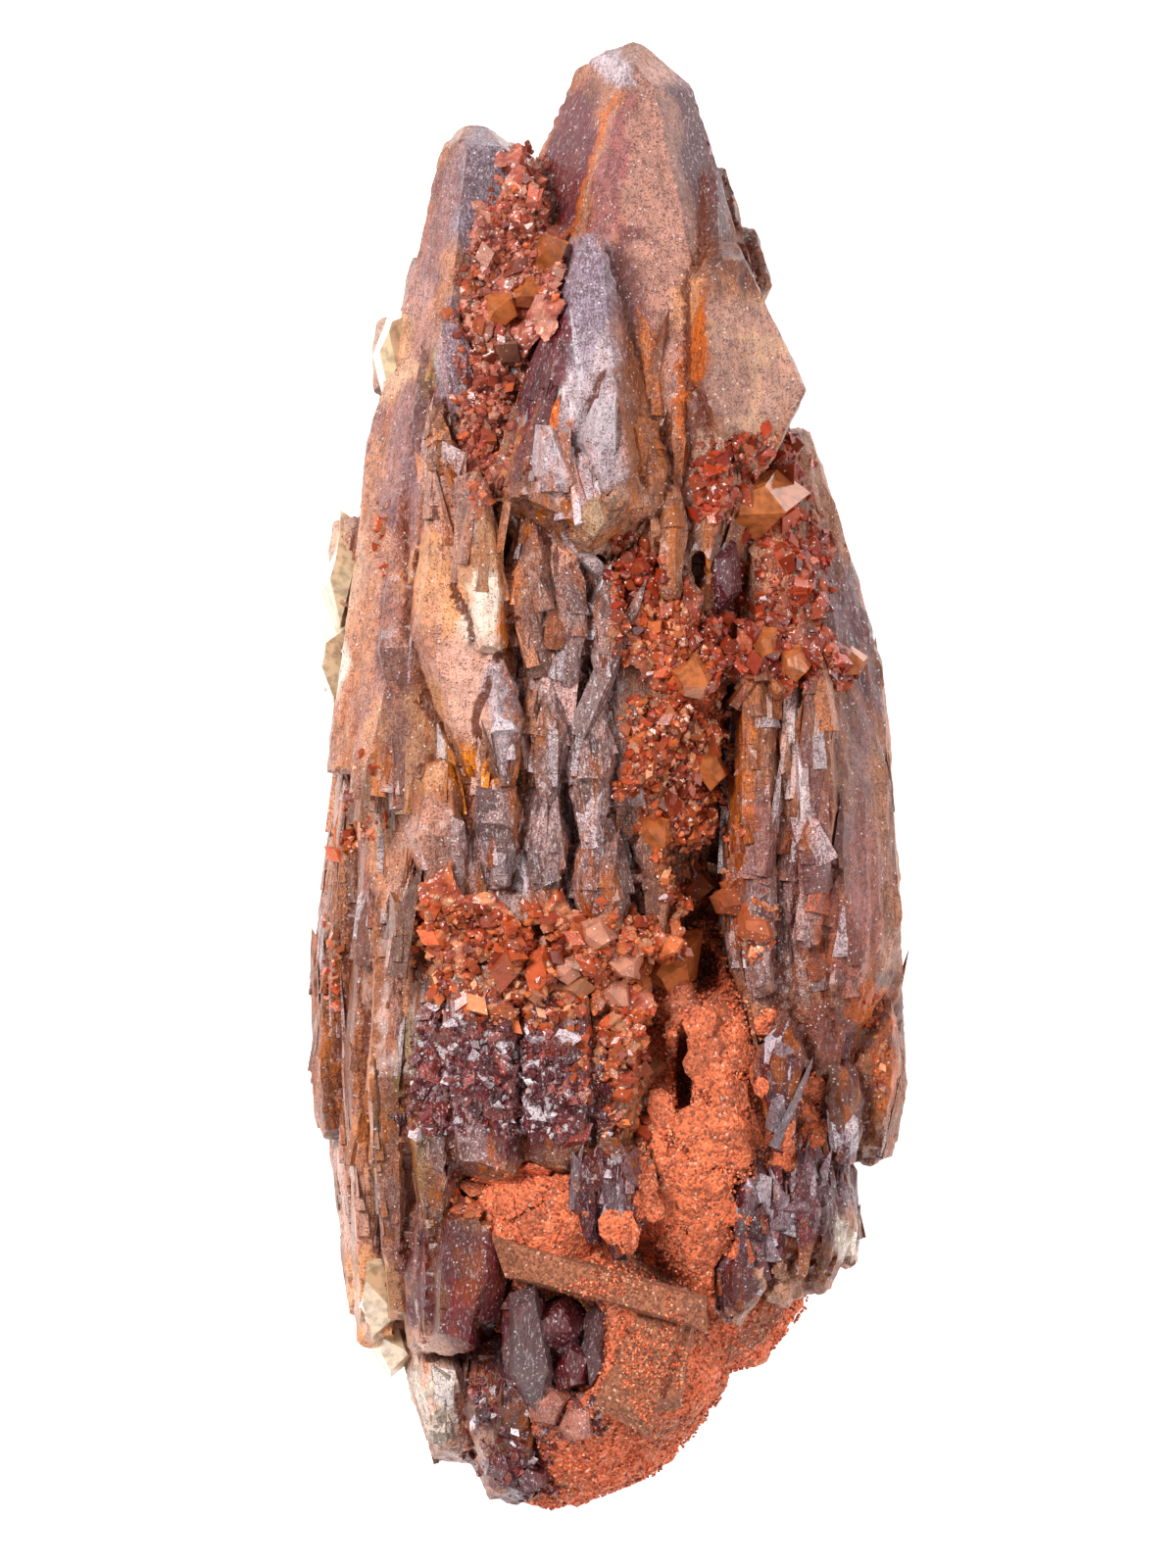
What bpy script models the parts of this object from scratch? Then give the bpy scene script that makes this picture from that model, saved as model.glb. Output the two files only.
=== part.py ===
"""Calcite on matrix: a sheaf of steep calcite crystals grown on a sandy, iron-stained rock.

The specimen lies on its back. +Y runs along the sheaf towards its tips, +X to the right, and
+Z up, away from the surface that the specimen lies on. Sizes are written in millimetres.
"""

import math
import random

import bmesh
import bpy
from mathutils import Euler, Matrix, Vector, noise
from mathutils.bvhtree import BVHTree

MM = 0.001
GAP = 0.3
BLOCK = 300.0

# A crystal is a tip, a foot, and the flat faces round its axis. Each face is
# (azimuth, setback, spread): azimuth 0 looks up (+Z), 90 to the right and 180 down at the surface;
# setback is its distance from the axis at the tip; spread is the angle at which it opens downwards.
# Bevels are short faces at the tip. Feet are faces measured from the foot, and close the lower end.
SPIRES = (
    # main spire, the tallest
    dict(
        tip=(2.5, 60.1, 20.0),
        foot=(1.2, -15.0, 17.0),
        sides=(
            (12, 2.1, 20), (-25, 1.55, 23.2), (-50, 1.35, 21), (-115, 4.6, 19), (50, 1.75, 21),
            (110, 3.5, 14), (180, 5.0, 12), (0, 9.3, 5), (-60, 8.0, 6), (-98, 8.0, 4),
            (62, 9.0, 6), (95, 7.2, 5), (140, 8.0, 4), (-140, 8.0, 4),
        ),
        bevels=((-39, -0.8, 58), (54, -0.6, 45), (-141, 0.8, 58), (126, 0.6, 45)),
        feet=((0, 9.0, 17), (-60, 6.0, 12), (62, 6.0, 10), (180, 4.0, 24)),
    ),
    # centre spire, standing in front of it
    dict(
        tip=(-1.04, 44.1, 31.5),
        foot=(-1.2, 18.0, 31.0),
        sides=((0, 0.0, 14), (-58, 0.3, 19.3), (52, 0.35, 13.7), (120, 0.8, 13), (-120, 1.2, 17)),
        bevels=((0, -0.4, 60),),
        feet=((-40, 2.4, 48), (40, 2.0, 42), (180, 6, 20)),
    ),
    # left spire
    dict(
        tip=(-10.5, 53.1, 19.0),
        foot=(-12.5, 0.0, 18.0),
        sides=(
            (5, 4.5, 13), (-55, 3.2, 10.8), (-100, 1.9, 11.6), (60, 3.8, 25), (72, 6.5, 5),
            (-90, 5.6, 5), (115, 5.0, 8), (180, 4.0, 9), (-135, 3.0, 9), (0, 8.6, 5),
        ),
        bevels=((0, 0.8, 68), (180, -0.8, 60), (-75, 1.2, 45), (80, 0.8, 52)),
    ),
    # cores behind the left group
    dict(
        tip=(-6.0, 44.0, 16.0),
        foot=(-7.0, -12.0, 16.0),
        sides=(
            (0, 6.0, 17), (0, 14.0, 3), (-40, 6.0, 14), (-40, 12.0, 4), (-85, 6.0, 11),
            (-85, 10.0, 4), (50, 5.0, 12), (50, 9.0, 4), (90, 3.0, 7), (180, 8.0, 4),
            (132, 8.0, 3), (-130, 8.0, 5),
        ),
        bevels=((0, -3.0, 50), (180, -3.0, 50), (-90, -3.0, 45), (90, -3.0, 50)),
    ),
    dict(
        tip=(-9.0, 14.0, 16.0),
        foot=(-11.0, -48.0, 15.0),
        sides=(
            (0, 16.0, 1), (-45, 12.0, 3), (-88, 9.0, 2), (45, 12.5, 2), (88, 8.5, 1),
            (180, 9.0, 2), (132, 9.0, 2), (-132, 9.0, 2),
        ),
        bevels=((0, 6.0, 60), (180, 3.0, 50), (-90, 3.0, 55), (90, 3.0, 55)),
        feet=((0, 7.0, 15), (-60, 6.5, 12), (-92, 4.5, 18), (88, 4.0, 9), (180, 7.0, 14)),
    ),
    # honey-coloured crystal at the upper right
    dict(
        tip=(9.5, 43.5, 24.0),
        foot=(9.3, 24.6, 24.0),
        sides=(
            (28, 3.9, 11.5), (-50, 4.0, 10.7), (92, 0.9, 26), (150, 3.0, 12), (-110, 2.0, 12),
            (180, 5.0, 8),
        ),
        bevels=((28, 1.5, 60), (-50, 1.5, 45)),
        feet=((90, 3.4, 27), (10, 5.0, 32), (-60, 3.0, 18)),
    ),
    # right column
    dict(
        tip=(14.5, 28.1, 17.0),
        foot=(15.9, -30.0, 14.0),
        sides=(
            (92, 2.0, 15.5), (92, 6.6, 2.2), (50, 4.0, 15), (50, 10.3, 3), (4, 7.0, 15),
            (4, 12.0, 4), (-40, 7.5, 10), (-40, 9.6, 3), (-88, 5.2, 1.5), (180, 7.0, 9),
            (180, 10.5, 2), (130, 5.0, 9), (-130, 7.0, 4),
        ),
        feet=((60, 6.0, 18), (0, 9.0, 14), (-80, 4.0, 10), (120, 6.0, 20)),
    ),
)

# A shard is a smaller crystal of the common form: a steep six-sided double point.
# (tip, foot, half width, half depth, girdle, turn, blunt)
# girdle is where it is widest, as a share of the way from tip to foot; turn spins it about its
# axis; blunt is how much of its width is left at its ends.
UPPER_SHARDS = (
    ((-15.1, 42.5, 16.0), (-17.3, 16.5, 17.0), 2.5, 6.0, 0.6, 0, 0.3),
    ((-13.2, 38.0, 27.5), (-11.9, 28.9, 28.5), 1.8, 2.2, 0.45, 8, 0.5),
    ((-14.6, 36.0, 24.0), (-13.5, 18.5, 28.0), 2.0, 3.4, 0.5, -20, 0.2),
    ((-14.3, 30.4, 28.0), (-12.3, 18.1, 31.5), 2.0, 3.4, 0.5, 10, 0.2),
    ((0.2, 33.0, 35.0), (0.5, 20.7, 35.4), 2.5, 2.6, 0.6, 8, 0.1),
    ((-5.6, 28.4, 33.5), (-1.3, 21.2, 35.6), 2.4, 2.4, 0.4, -18, 0.5),
    ((-6.5, 29.0, 30.5), (-5.9, 18.0, 33.0), 2.2, 3.0, 0.5, -12, 0.2),
    ((2.5, 31.5, 31.0), (3.6, 17.0, 32.0), 1.6, 3.4, 0.5, 24, 0.2),
    ((5.3, 35.0, 29.0), (5.7, 22.0, 30.5), 1.1, 2.6, 0.6, 10, 0.2),
    ((5.2, 24.6, 31.0), (5.2, 14.2, 32.6), 1.3, 2.2, 0.4, -8, 0.5),
    ((3.4, 30.0, 29.0), (3.9, 14.8, 31.0), 1.4, 3.2, 0.5, 20, 0.2),
    ((9.0, 49.8, 18.0), (10.2, 36.6, 18.0), 2.4, 6.0, 0.7, 10, 0.3),
    ((8.9, 49.4, 21.5), (9.3, 38.8, 22.5), 1.8, 3.8, 0.6, -15, 0.2),
    ((10.4, 45.0, 17.0), (11.2, 38.0, 17.0), 2.2, 5.0, 0.75, 20, 0.5),
    ((7.2, 41.5, 24.5), (6.4, 23.6, 26.0), 1.8, 4.2, 0.5, -10, 0.3),
)
LEFT_SHARDS = (
    ((-16.5, 36.0, 15.0), (-19.6, 2.0, 14.0), 2.4, 7.5, 0.5, 0, 0.5),
    ((-18.6, 26.0, 13.0), (-21.0, -16.0, 13.0), 2.1, 7.5, 0.5, 0, 0.5),
    ((-17.0, 25.0, 20.0), (-19.0, -17.0, 19.0), 2.6, 8.2, 0.5, -6, 0.4),
    ((-20.2, 8.0, 14.0), (-22.0, -29.0, 14.0), 2.2, 7.0, 0.6, 0, 0.5),
    ((-21.7, -4.0, 12.5), (-22.7, -29.0, 13.0), 2.0, 6.4, 0.5, 0, 0.5),
    ((-18.7, -1.0, 19.0), (-19.3, -45.5, 17.0), 2.8, 7.5, 0.5, -4, 0.4),
    ((-20.9, -12.0, 13.0), (-20.0, -44.5, 12.0), 2.3, 7.5, 0.5, 0, 0.5),
    ((-17.5, -4.0, 24.0), (-17.0, -44.5, 22.0), 2.4, 7.4, 0.5, -8, 0.3),
    ((-22.6, -18.0, 15.0), (-22.3, -30.0, 15.0), 1.8, 4.6, 0.5, 0, 0.5),
    ((-13.4, 31.5, 26.0), (-10.3, -1.0, 32.0), 5.8, 7.0, 0.62, -4, 0.12),
    ((-16.0, 25.5, 25.0), (-15.3, -0.5, 27.5), 3.6, 6.6, 0.6, -12, 0.2),
    ((-11.1, 24.4, 34.0), (-9.4, 9.8, 35.2), 2.1, 2.4, 0.6, 8, 0.6),
    ((-6.3, 22.2, 32.5), (-5.9, 9.2, 34.0), 2.4, 3.0, 0.6, -8, 0.3),
    ((-3.8, 19.0, 32.0), (-3.1, 7.0, 33.4), 2.5, 3.0, 0.55, 12, 0.3),
    ((0.2, 17.4, 32.0), (-0.1, 7.4, 33.6), 1.9, 2.8, 0.5, 5, 0.2),
    ((-8.9, 9.6, 33.6), (-8.2, -1.0, 34.6), 1.9, 3.0, 0.5, 14, 0.3),
    ((-4.7, 11.0, 32.0), (-4.9, -3.4, 33.2), 2.2, 3.0, 0.5, -10, 0.2),
    ((-1.5, 9.0, 31.5), (-1.1, -6.6, 32.8), 2.3, 3.0, 0.5, 10, 0.2),
    ((-9.1, 2.6, 32.5), (-8.5, -9.2, 33.5), 2.1, 3.0, 0.5, -14, 0.3),
    ((-13.5, 1.4, 31.5), (-13.0, -11.4, 32.0), 3.0, 3.4, 0.5, -8, 0.4),
    ((-5.5, 0.2, 31.5), (-5.0, -11.2, 32.2), 2.3, 3.0, 0.5, 8, 0.3),
    ((-0.7, -3.0, 31.0), (-0.2, -14.4, 31.5), 2.6, 3.2, 0.5, -5, 0.4),
    ((3.2, -3.6, 28.5), (3.9, -14.2, 29.5), 2.2, 3.2, 0.5, 10, 0.4),
    ((-16.4, -8.0, 30.5), (-16.3, -16.2, 30.5), 1.3, 2.4, 0.5, 5, 0.4),
)
EDGE_CRYSTALS = (
    ((-17.3, 37.6, 17.0), (-17.7, 31.0, 17.0), 1.8, 2.8, 0.4, 0, 0.75),
    ((-20.8, 21.2, 14.0), (-21.0, 12.9, 13.5), 2.0, 3.2, 0.3, 0, 0.75),
    ((-21.6, 11.6, 14.0), (-21.5, 6.6, 14.0), 1.9, 3.0, 0.4, 0, 0.8),
    ((-18.7, -38.0, 17.0), (-18.5, -47.0, 16.0), 2.2, 5.6, 0.4, 0, 0.8),
)
RIGHT_SHARDS = (
    ((12.4, 12.5, 27.5), (12.9, -18.0, 27.5), 2.4, 4.4, 0.5, -8, 0.4),
    ((16.9, 9.5, 27.5), (16.5, -14.5, 27.5), 2.9, 4.4, 0.5, 6, 0.4),
    ((18.8, 15.5, 21.0), (19.9, -14.0, 20.0), 2.0, 6.0, 0.5, 12, 0.3),
    ((19.6, 9.0, 16.0), (20.9, -18.5, 15.0), 1.9, 6.5, 0.6, 6, 0.5),
    ((16.8, -1.2, 30.5), (17.0, -8.0, 30.8), 1.5, 1.6, 0.55, 0, 0.1),
    ((18.6, -8.0, 24.0), (18.4, -25.0, 22.0), 2.7, 5.4, 0.5, 15, 0.4),
    ((21.4, -14.5, 16.0), (21.3, -32.0, 15.0), 3.2, 7.5, 0.6, 0, 0.6),
    ((21.9, -17.3, 20.0), (21.5, -29.5, 20.0), 2.4, 4.4, 0.5, 8, 0.6),
)
LOWER_SHARDS = (
    ((-10.3, -13.5, 28.0), (-9.5, -33.4, 27.0), 4.9, 6.4, 0.55, -5, 0.7),
    ((-4.3, -13.5, 27.5), (-4.7, -33.4, 26.5), 4.9, 6.4, 0.55, 6, 0.7),
    ((0.0, -16.0, 26.5), (0.6, -33.0, 26.5), 3.0, 5.8, 0.5, 0, 0.5),
    ((-14.3, -16.0, 27.5), (-13.5, -38.5, 26.5), 2.7, 5.4, 0.5, -10, 0.4),
    ((-0.1, -28.0, 29.0), (1.6, -39.9, 30.5), 2.8, 3.4, 0.35, 6, 0.1),
    ((-1.6, -29.5, 29.5), (-1.0, -38.2, 30.0), 1.8, 2.6, 0.4, -14, 0.2),
    ((2.9, -29.0, 28.0), (2.2, -38.6, 28.5), 1.4, 2.6, 0.4, 20, 0.1),
    ((-11.9, -34.0, 25.5), (-12.8, -47.4, 25.0), 3.2, 6.0, 0.5, 5, 0.7),
    ((-9.6, -35.6, 27.0), (-10.3, -45.0, 26.5), 2.1, 4.0, 0.5, -16, 0.6),
    ((-15.1, -34.6, 24.0), (-15.0, -47.2, 23.0), 2.0, 6.0, 0.5, 14, 0.6),
    ((-9.9, -43.5, 19.0), (-7.4, -59.6, 17.0), 4.4, 9.0, 0.45, 0, 0.45),
    ((-14.2, -43.5, 17.0), (-12.2, -56.4, 15.0), 3.0, 8.5, 0.4, 0, 0.6),
    ((15.0, -23.0, 16.0), (14.2, -42.6, 16.0), 6.2, 10.0, 0.6, 0, 0.75),
    ((16.2, -30.0, 25.0), (15.9, -41.4, 26.0), 1.8, 3.0, 0.5, 5, 0.1),
    ((17.9, -30.9, 23.5), (17.5, -41.2, 24.5), 1.6, 2.8, 0.5, -18, 0.1),
    ((13.8, -31.6, 25.0), (14.1, -41.2, 26.0), 1.5, 2.8, 0.5, 20, 0.1),
    ((12.1, -30.8, 24.5), (12.7, -42.0, 25.5), 1.8, 3.2, 0.5, -10, 0.15),
    ((10.9, -32.2, 25.5), (11.7, -39.6, 26.5), 1.3, 2.6, 0.5, 12, 0.15),
    ((18.9, -32.0, 21.0), (18.0, -41.4, 21.5), 1.9, 4.0, 0.5, 0, 0.3),
    ((12.4, -36.6, 24.5), (9.9, -44.6, 24.0), 2.4, 3.4, 0.5, 10, 0.4),
    ((14.5, -36.8, 23.0), (14.5, -43.4, 22.5), 2.3, 3.4, 0.5, -12, 0.6),
    ((17.0, -37.2, 20.5), (16.6, -42.4, 20.0), 2.1, 4.0, 0.5, 8, 0.6),
    ((19.3, -33.0, 16.0), (19.4, -40.4, 16.0), 1.5, 5.2, 0.5, 0, 0.7),
    ((14.5, -19.0, 26.5), (14.2, -30.7, 27.5), 2.5, 3.4, 0.4, 6, 0.15),
    ((19.3, -20.5, 22.5), (19.7, -32.0, 22.5), 2.1, 4.2, 0.5, -10, 0.25),
    ((6.0, -40.7, 26.0), (5.3, -43.4, 26.0), 1.3, 2.0, 0.5, 0, 0.5),
)

# The crystal at the base, under a coat of sand, and the broken crystal inside its hollow.
BASE_CRYSTAL = dict(
    tip=(0.6, -37.6, 22.0),
    foot=(-1.2, -58.0, 17.0),
    sides=(
        (-10, 9.0, -2), (34, 8.2, -2), (88, 6.2, 2), (-62, 9.5, 0), (-95, 9.0, -4),
        (140, 9.0, 0), (180, 12.0, 0), (-140, 9.0, 0),
    ),
    bevels=((-12, 6.8, 63), (30, 5.2, 52), (-90, 3.5, 66), (75, 1.0, 50)),
    feet=((-10, 3.0, 34), (34, 2.0, 34), (88, 1.0, 28), (-80, 3.0, 30)),
)
HOLLOW = ((-4.3, -46.6, 31.0), (4.9, 6.6, 7.5), 9, 0.12, 2)
POCKET_SHARDS = (
    ((-6.9, -42.0, 27.0), (-6.0, -52.2, 23.5), 2.2, 3.4, 0.5, 14, 0.7),
    ((-3.6, -42.4, 25.0), (-3.6, -51.0, 23.0), 3.0, 4.0, 0.45, -10, 0.5),
    ((-1.6, -43.6, 24.0), (-1.9, -51.0, 22.5), 1.9, 4.0, 0.5, -24, 0.6),
    ((-4.4, -47.0, 22.0), (-4.2, -53.6, 19.5), 2.8, 4.0, 0.5, 5, 0.5),
)

# Each lump of rock is (centre, radii, seed, roughness, fineness).
MATRIX_LUMPS = (
    ((0.0, -18.0, 10.0), (18.0, 38.0, 12.5), 1, 0.12, 3),
    ((-2.5, -47.5, 13.0), (11.5, 12.5, 13.0), 2, 0.12, 2),
    ((7.0, -40.5, 13.0), (9.5, 9.5, 12.0), 3, 0.12, 2),
    ((6.8, -28.0, 21.0), (6.6, 15.5, 8.5), 4, 0.12, 2),
    ((-5.0, -36.0, 24.0), (7.5, 5.5, 6.5), 5, 0.12, 2),
    ((2.0, -47.5, 19.0), (8.4, 7.8, 9.5), 6, 0.12, 2),
    ((-4.6, -55.4, 12.0), (5.8, 4.6, 9.0), 7, 0.12, 2),
)
PITS = (
    ((6.3, -24.2, 31.0), (1.0, 4.6, 14.0), 11, 0.12, 2),
    ((8.0, -15.6, 31.0), (1.8, 2.8, 14.0), 12, 0.12, 2),
    ((7.5, 16.6, 36.0), (0.9, 2.1, 9.0), 13, 0.12, 2),
)

# A patch of druse is (centre x, centre y, half width, half height, number of rhombs, their size).
UPPER_DRUSE = (
    (-7.4, 46.0, 1.7, 4.6, 5, 2.6), (-9.2, 41.5, 2.6, 3.6, 5, 2.8), (-6.4, 39.6, 2.6, 3.0, 4, 3.2),
    (-9.8, 34.5, 2.4, 4.8, 7, 2.7), (-9.0, 28.0, 2.5, 4.8, 7, 2.8), (-9.2, 23.8, 1.6, 2.6, 3, 2.6),
)
SIDE_DRUSE = (
    (12.8, 25.2, 3.8, 2.4, 6, 3.0), (12.6, 21.2, 2.8, 2.6, 3, 4.6), (15.3, 16.6, 3.4, 5.2, 8, 3.2),
    (14.5, 9.8, 5.4, 2.4, 7, 3.2), (8.6, 21.2, 2.0, 2.6, 4, 3.0), (4.4, 15.4, 3.2, 3.2, 5, 3.4),
    (6.0, 9.0, 4.0, 3.6, 7, 3.5), (6.0, 2.6, 3.8, 4.2, 7, 3.5), (5.8, -3.4, 3.8, 3.4, 6, 3.4),
)
BAND_DRUSE = (
    (9.4, -10.2, 4.0, 2.0, 4, 3.2), (2.6, -12.6, 4.2, 3.0, 6, 3.5), (-3.4, -13.2, 4.0, 3.0, 6, 3.5),
    (-9.6, -12.8, 4.0, 3.0, 6, 3.5), (-13.0, -11.6, 2.4, 2.2, 3, 3.2), (-6.8, -16.4, 4.2, 2.2, 4, 3.0),
    (1.2, -18.6, 3.2, 3.6, 5, 3.0), (2.8, -23.6, 1.8, 3.4, 3, 2.8),
)

MATERIALS = {
    "calcite": ((0.50, 0.36, 0.34), 0.35),
    "sandstone": ((0.62, 0.22, 0.09), 0.9),
    "amber": ((0.60, 0.18, 0.05), 0.3),
    "honey": ((0.72, 0.50, 0.28), 0.2),
}


def clear_scene():
    for obj in list(bpy.data.objects):
        bpy.data.objects.remove(obj)


def new_collection(name, helper=False):
    collection = bpy.data.collections.new(name)
    bpy.context.scene.collection.children.link(collection)
    collection.hide_render = helper
    return collection


def material(name):
    colour, roughness = MATERIALS[name]
    made = bpy.data.materials.new(name)
    made.use_nodes = True
    shader = made.node_tree.nodes["Principled BSDF"]
    shader.inputs["Base Color"].default_value = (*colour, 1)
    shader.inputs["Roughness"].default_value = roughness
    return made


def new_object(name, bm, collection, helper=False):
    mesh = bpy.data.meshes.new(name)
    bm.to_mesh(mesh)
    bm.free()
    obj = bpy.data.objects.new(name, mesh)
    collection.objects.link(obj)
    if helper:
        obj.hide_render = True
        obj.display_type = "WIRE"
    return obj


def cleave(bm, point, normal):
    """Cuts away what lies beyond a plane and closes the cut with a flat face."""
    bmesh.ops.bisect_plane(
        bm, geom=bm.verts[:] + bm.edges[:] + bm.faces[:], dist=1e-7,
        plane_co=point, plane_no=normal, clear_outer=True,
    )
    bmesh.ops.holes_fill(bm, edges=[edge for edge in bm.edges if edge.is_boundary])


def axis_frame(tip, foot):
    """The crystal's axis from foot to tip, and the directions of azimuth 0 and 90 round it."""
    along = (tip - foot).normalized()
    up = Vector((0, 0, 1))
    front = (up - along * along.dot(up)).normalized()
    return along, front, along.cross(front)


def crystal(tip, foot, sides, bevels=(), feet=(), grow=0.0):
    """A block cleaved to a crystal. grow moves every face outwards, for a cutter that leaves a gap."""
    tip, foot = Vector(tip), Vector(foot)
    along, front, right = axis_frame(tip, foot)
    bm = bmesh.new()
    bmesh.ops.create_cube(bm, size=BLOCK * MM)
    bmesh.ops.translate(bm, verts=bm.verts, vec=(tip + foot) / 2 * MM)
    planes = [(foot, -along), (tip, along)]
    for end, sense, faces in ((tip, 1, sides), (tip, 1, bevels), (foot, -1, feet)):
        for azimuth, setback, spread in faces:
            turn, lean = math.radians(azimuth), math.radians(spread)
            outward = front * math.cos(turn) + right * math.sin(turn)
            normal = outward * math.cos(lean) + along * (sense * math.sin(lean))
            planes.append((end + outward * setback, normal))
    for point, normal in planes:
        cleave(bm, (point + normal * grow) * MM, normal)
    bmesh.ops.recalc_face_normals(bm, faces=bm.faces)
    return bm


def shard(tip, foot, half_width, half_depth, girdle, turn, blunt, grow=0.0):
    """A six-sided double point, widest at its girdle, with a flat face towards azimuth 0."""
    length = (Vector(tip) - Vector(foot)).length
    upper, lower = girdle * length, (1 - girdle) * length
    corners = [math.radians(angle) for angle in range(-30, 331, 60)]
    sides, feet = [], []
    for first, last in zip(corners, corners[1:]):
        across = half_width * (math.sin(last) - math.sin(first))
        deep = half_depth * (math.cos(first) - math.cos(last))
        turned = math.atan2(deep, across)
        reach = half_width * math.sin(first) * math.sin(turned)
        reach += half_depth * math.cos(first) * math.cos(turned)
        start = blunt * reach
        azimuth = math.degrees(turned) + turn
        sides.append((azimuth, start, math.degrees(math.atan((reach - start) / upper))))
        feet.append((azimuth, start, math.degrees(math.atan((reach - start) / lower))))
    caps = [(azimuth + turn, 0.1, 62) for azimuth in (-30, 90, 210)]
    return crystal(tip, foot, sides, caps, feet + caps, grow)


def rhomb(centre, size, turn):
    """A calcite rhomb: a cube pushed along its body diagonal."""
    bm = bmesh.new()
    bmesh.ops.create_cube(bm, size=size * MM)
    skew = Matrix(((1, 0.22, 0.22), (0.22, 1, 0.22), (0.22, 0.22, 1)))
    bmesh.ops.transform(bm, matrix=(turn @ skew).to_4x4(), verts=bm.verts)
    bmesh.ops.translate(bm, verts=bm.verts, vec=Vector(centre) * MM)
    return bm


def lump(centre, radii, seed, rough=0.12, subdivisions=3):
    """A rounded lump of rock with a rough skin."""
    bm = bmesh.new()
    bmesh.ops.create_icosphere(bm, subdivisions=subdivisions, radius=1)
    offset = Vector((seed * 7.3, seed * 3.1, seed * 5.7))
    for vert in bm.verts:
        bump = noise.fractal(vert.co * 1.6 + offset, 0.8, 2.1, 3)
        vert.co *= 1 + rough * bump
    for vert in bm.verts:
        vert.co = Vector(c + r * v for c, r, v in zip(centre, radii, vert.co)) * MM
    bmesh.ops.recalc_face_normals(bm, faces=bm.faces)
    return bm


def apply_modifiers(obj):
    graph = bpy.context.evaluated_depsgraph_get()
    mesh = bpy.data.meshes.new_from_object(obj.evaluated_get(graph))
    obj.modifiers.clear()
    obj.data = mesh


def islands(bm):
    """The separate bodies of a mesh, as lists of vertices."""
    left, found = set(bm.verts), []
    while left:
        stack = [left.pop()]
        island = list(stack)
        while stack:
            for edge in stack.pop().link_edges:
                for vert in edge.verts:
                    if vert in left:
                        left.remove(vert)
                        stack.append(vert)
                        island.append(vert)
        found.append(island)
    return found


def keep_largest(mesh):
    bm = bmesh.new()
    bm.from_mesh(mesh)
    pieces = sorted(islands(bm), key=len)
    for loose in pieces[:-1]:
        bmesh.ops.delete(bm, geom=loose, context="VERTS")
    bm.to_mesh(mesh)
    bm.free()
    return len(pieces)


def boolean(obj, operation, operand):
    modifier = obj.modifiers.new(operation.title(), "BOOLEAN")
    modifier.operation = operation
    modifier.solver = "EXACT"
    if isinstance(operand, bpy.types.Collection):
        modifier.operand_type = "COLLECTION"
        modifier.collection = operand
    else:
        modifier.object = operand


def helper_group(name, shapes):
    group = new_collection(name, helper=True)
    for number, shape in enumerate(shapes):
        new_object(f"{name}_{number}", shape, group, helper=True)
    return group


def joined(name, shapes, helpers):
    """The shapes joined, as a helper object."""
    obj = new_object(name, shapes[0], helpers, helper=True)
    if len(shapes) > 1:
        boolean(obj, "UNION", helper_group(name + "_shape", shapes[1:]))
        apply_modifiers(obj)
    return obj


def part(name, look, shapes, cutters, parts, helpers):
    """One solid: the shapes joined, less the cutters."""
    whole = joined(name + "_whole", shapes, helpers)
    for cutter in cutters:
        boolean(whole, "DIFFERENCE", cutter)
    apply_modifiers(whole)
    keep_largest(whole.data)
    whole.data.materials.clear()
    whole.data.materials.append(material(look))
    obj = bpy.data.objects.new(name, whole.data)
    parts.objects.link(obj)
    return obj


def surface_of(meshes):
    """The upper surface of these meshes, as a function from (x, y) to height, in millimetres."""
    points, faces = [], []
    for mesh in meshes:
        start = len(points)
        points += [vert.co / MM for vert in mesh.vertices]
        faces += [[start + index for index in face.vertices] for face in mesh.polygons]
    tree = BVHTree.FromPolygons(points, faces)

    def height(x, y):
        hit = tree.ray_cast(Vector((x, y, 99)), Vector((0, 0, -1)))[0]
        return hit.z if hit else None

    return height


def druse(patches, height, seed, grow=0.0):
    """Rhombs scattered over the patches, half sunk in a thin crust on the surface."""
    chance = random.Random(seed)
    shapes = []
    for x, y, across, tall, count, size in patches:
        radii = (across + grow, tall + grow, 1.3 + grow)
        shapes.append(lump((x, y, height(x, y)), radii, seed, 0.1, 1))
        for _ in range(count):
            angle, reach = chance.uniform(0, math.tau), math.sqrt(chance.random())
            px, py = x + across * reach * math.cos(angle), y + tall * reach * math.sin(angle)
            turn = Euler([chance.uniform(0, math.tau) for _ in range(3)]).to_matrix()
            edge = size * chance.uniform(0.8, 1.25)
            centre = (px, py, height(px, py) - 0.12 * edge)
            shapes.append(rhomb(centre, edge + 3 * grow, turn))
    return shapes


def centre_on_origin(objects):
    """Puts the middle of the specimen's outline over the origin. It already rests on z = 0."""
    corners = [vert.co for obj in objects for vert in obj.data.vertices]
    middle = [(min(co[i] for co in corners) + max(co[i] for co in corners)) / 2 for i in (0, 1)]
    for obj in objects:
        obj.data.transform(Matrix.Translation((-middle[0], -middle[1], 0)))
    return middle


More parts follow.
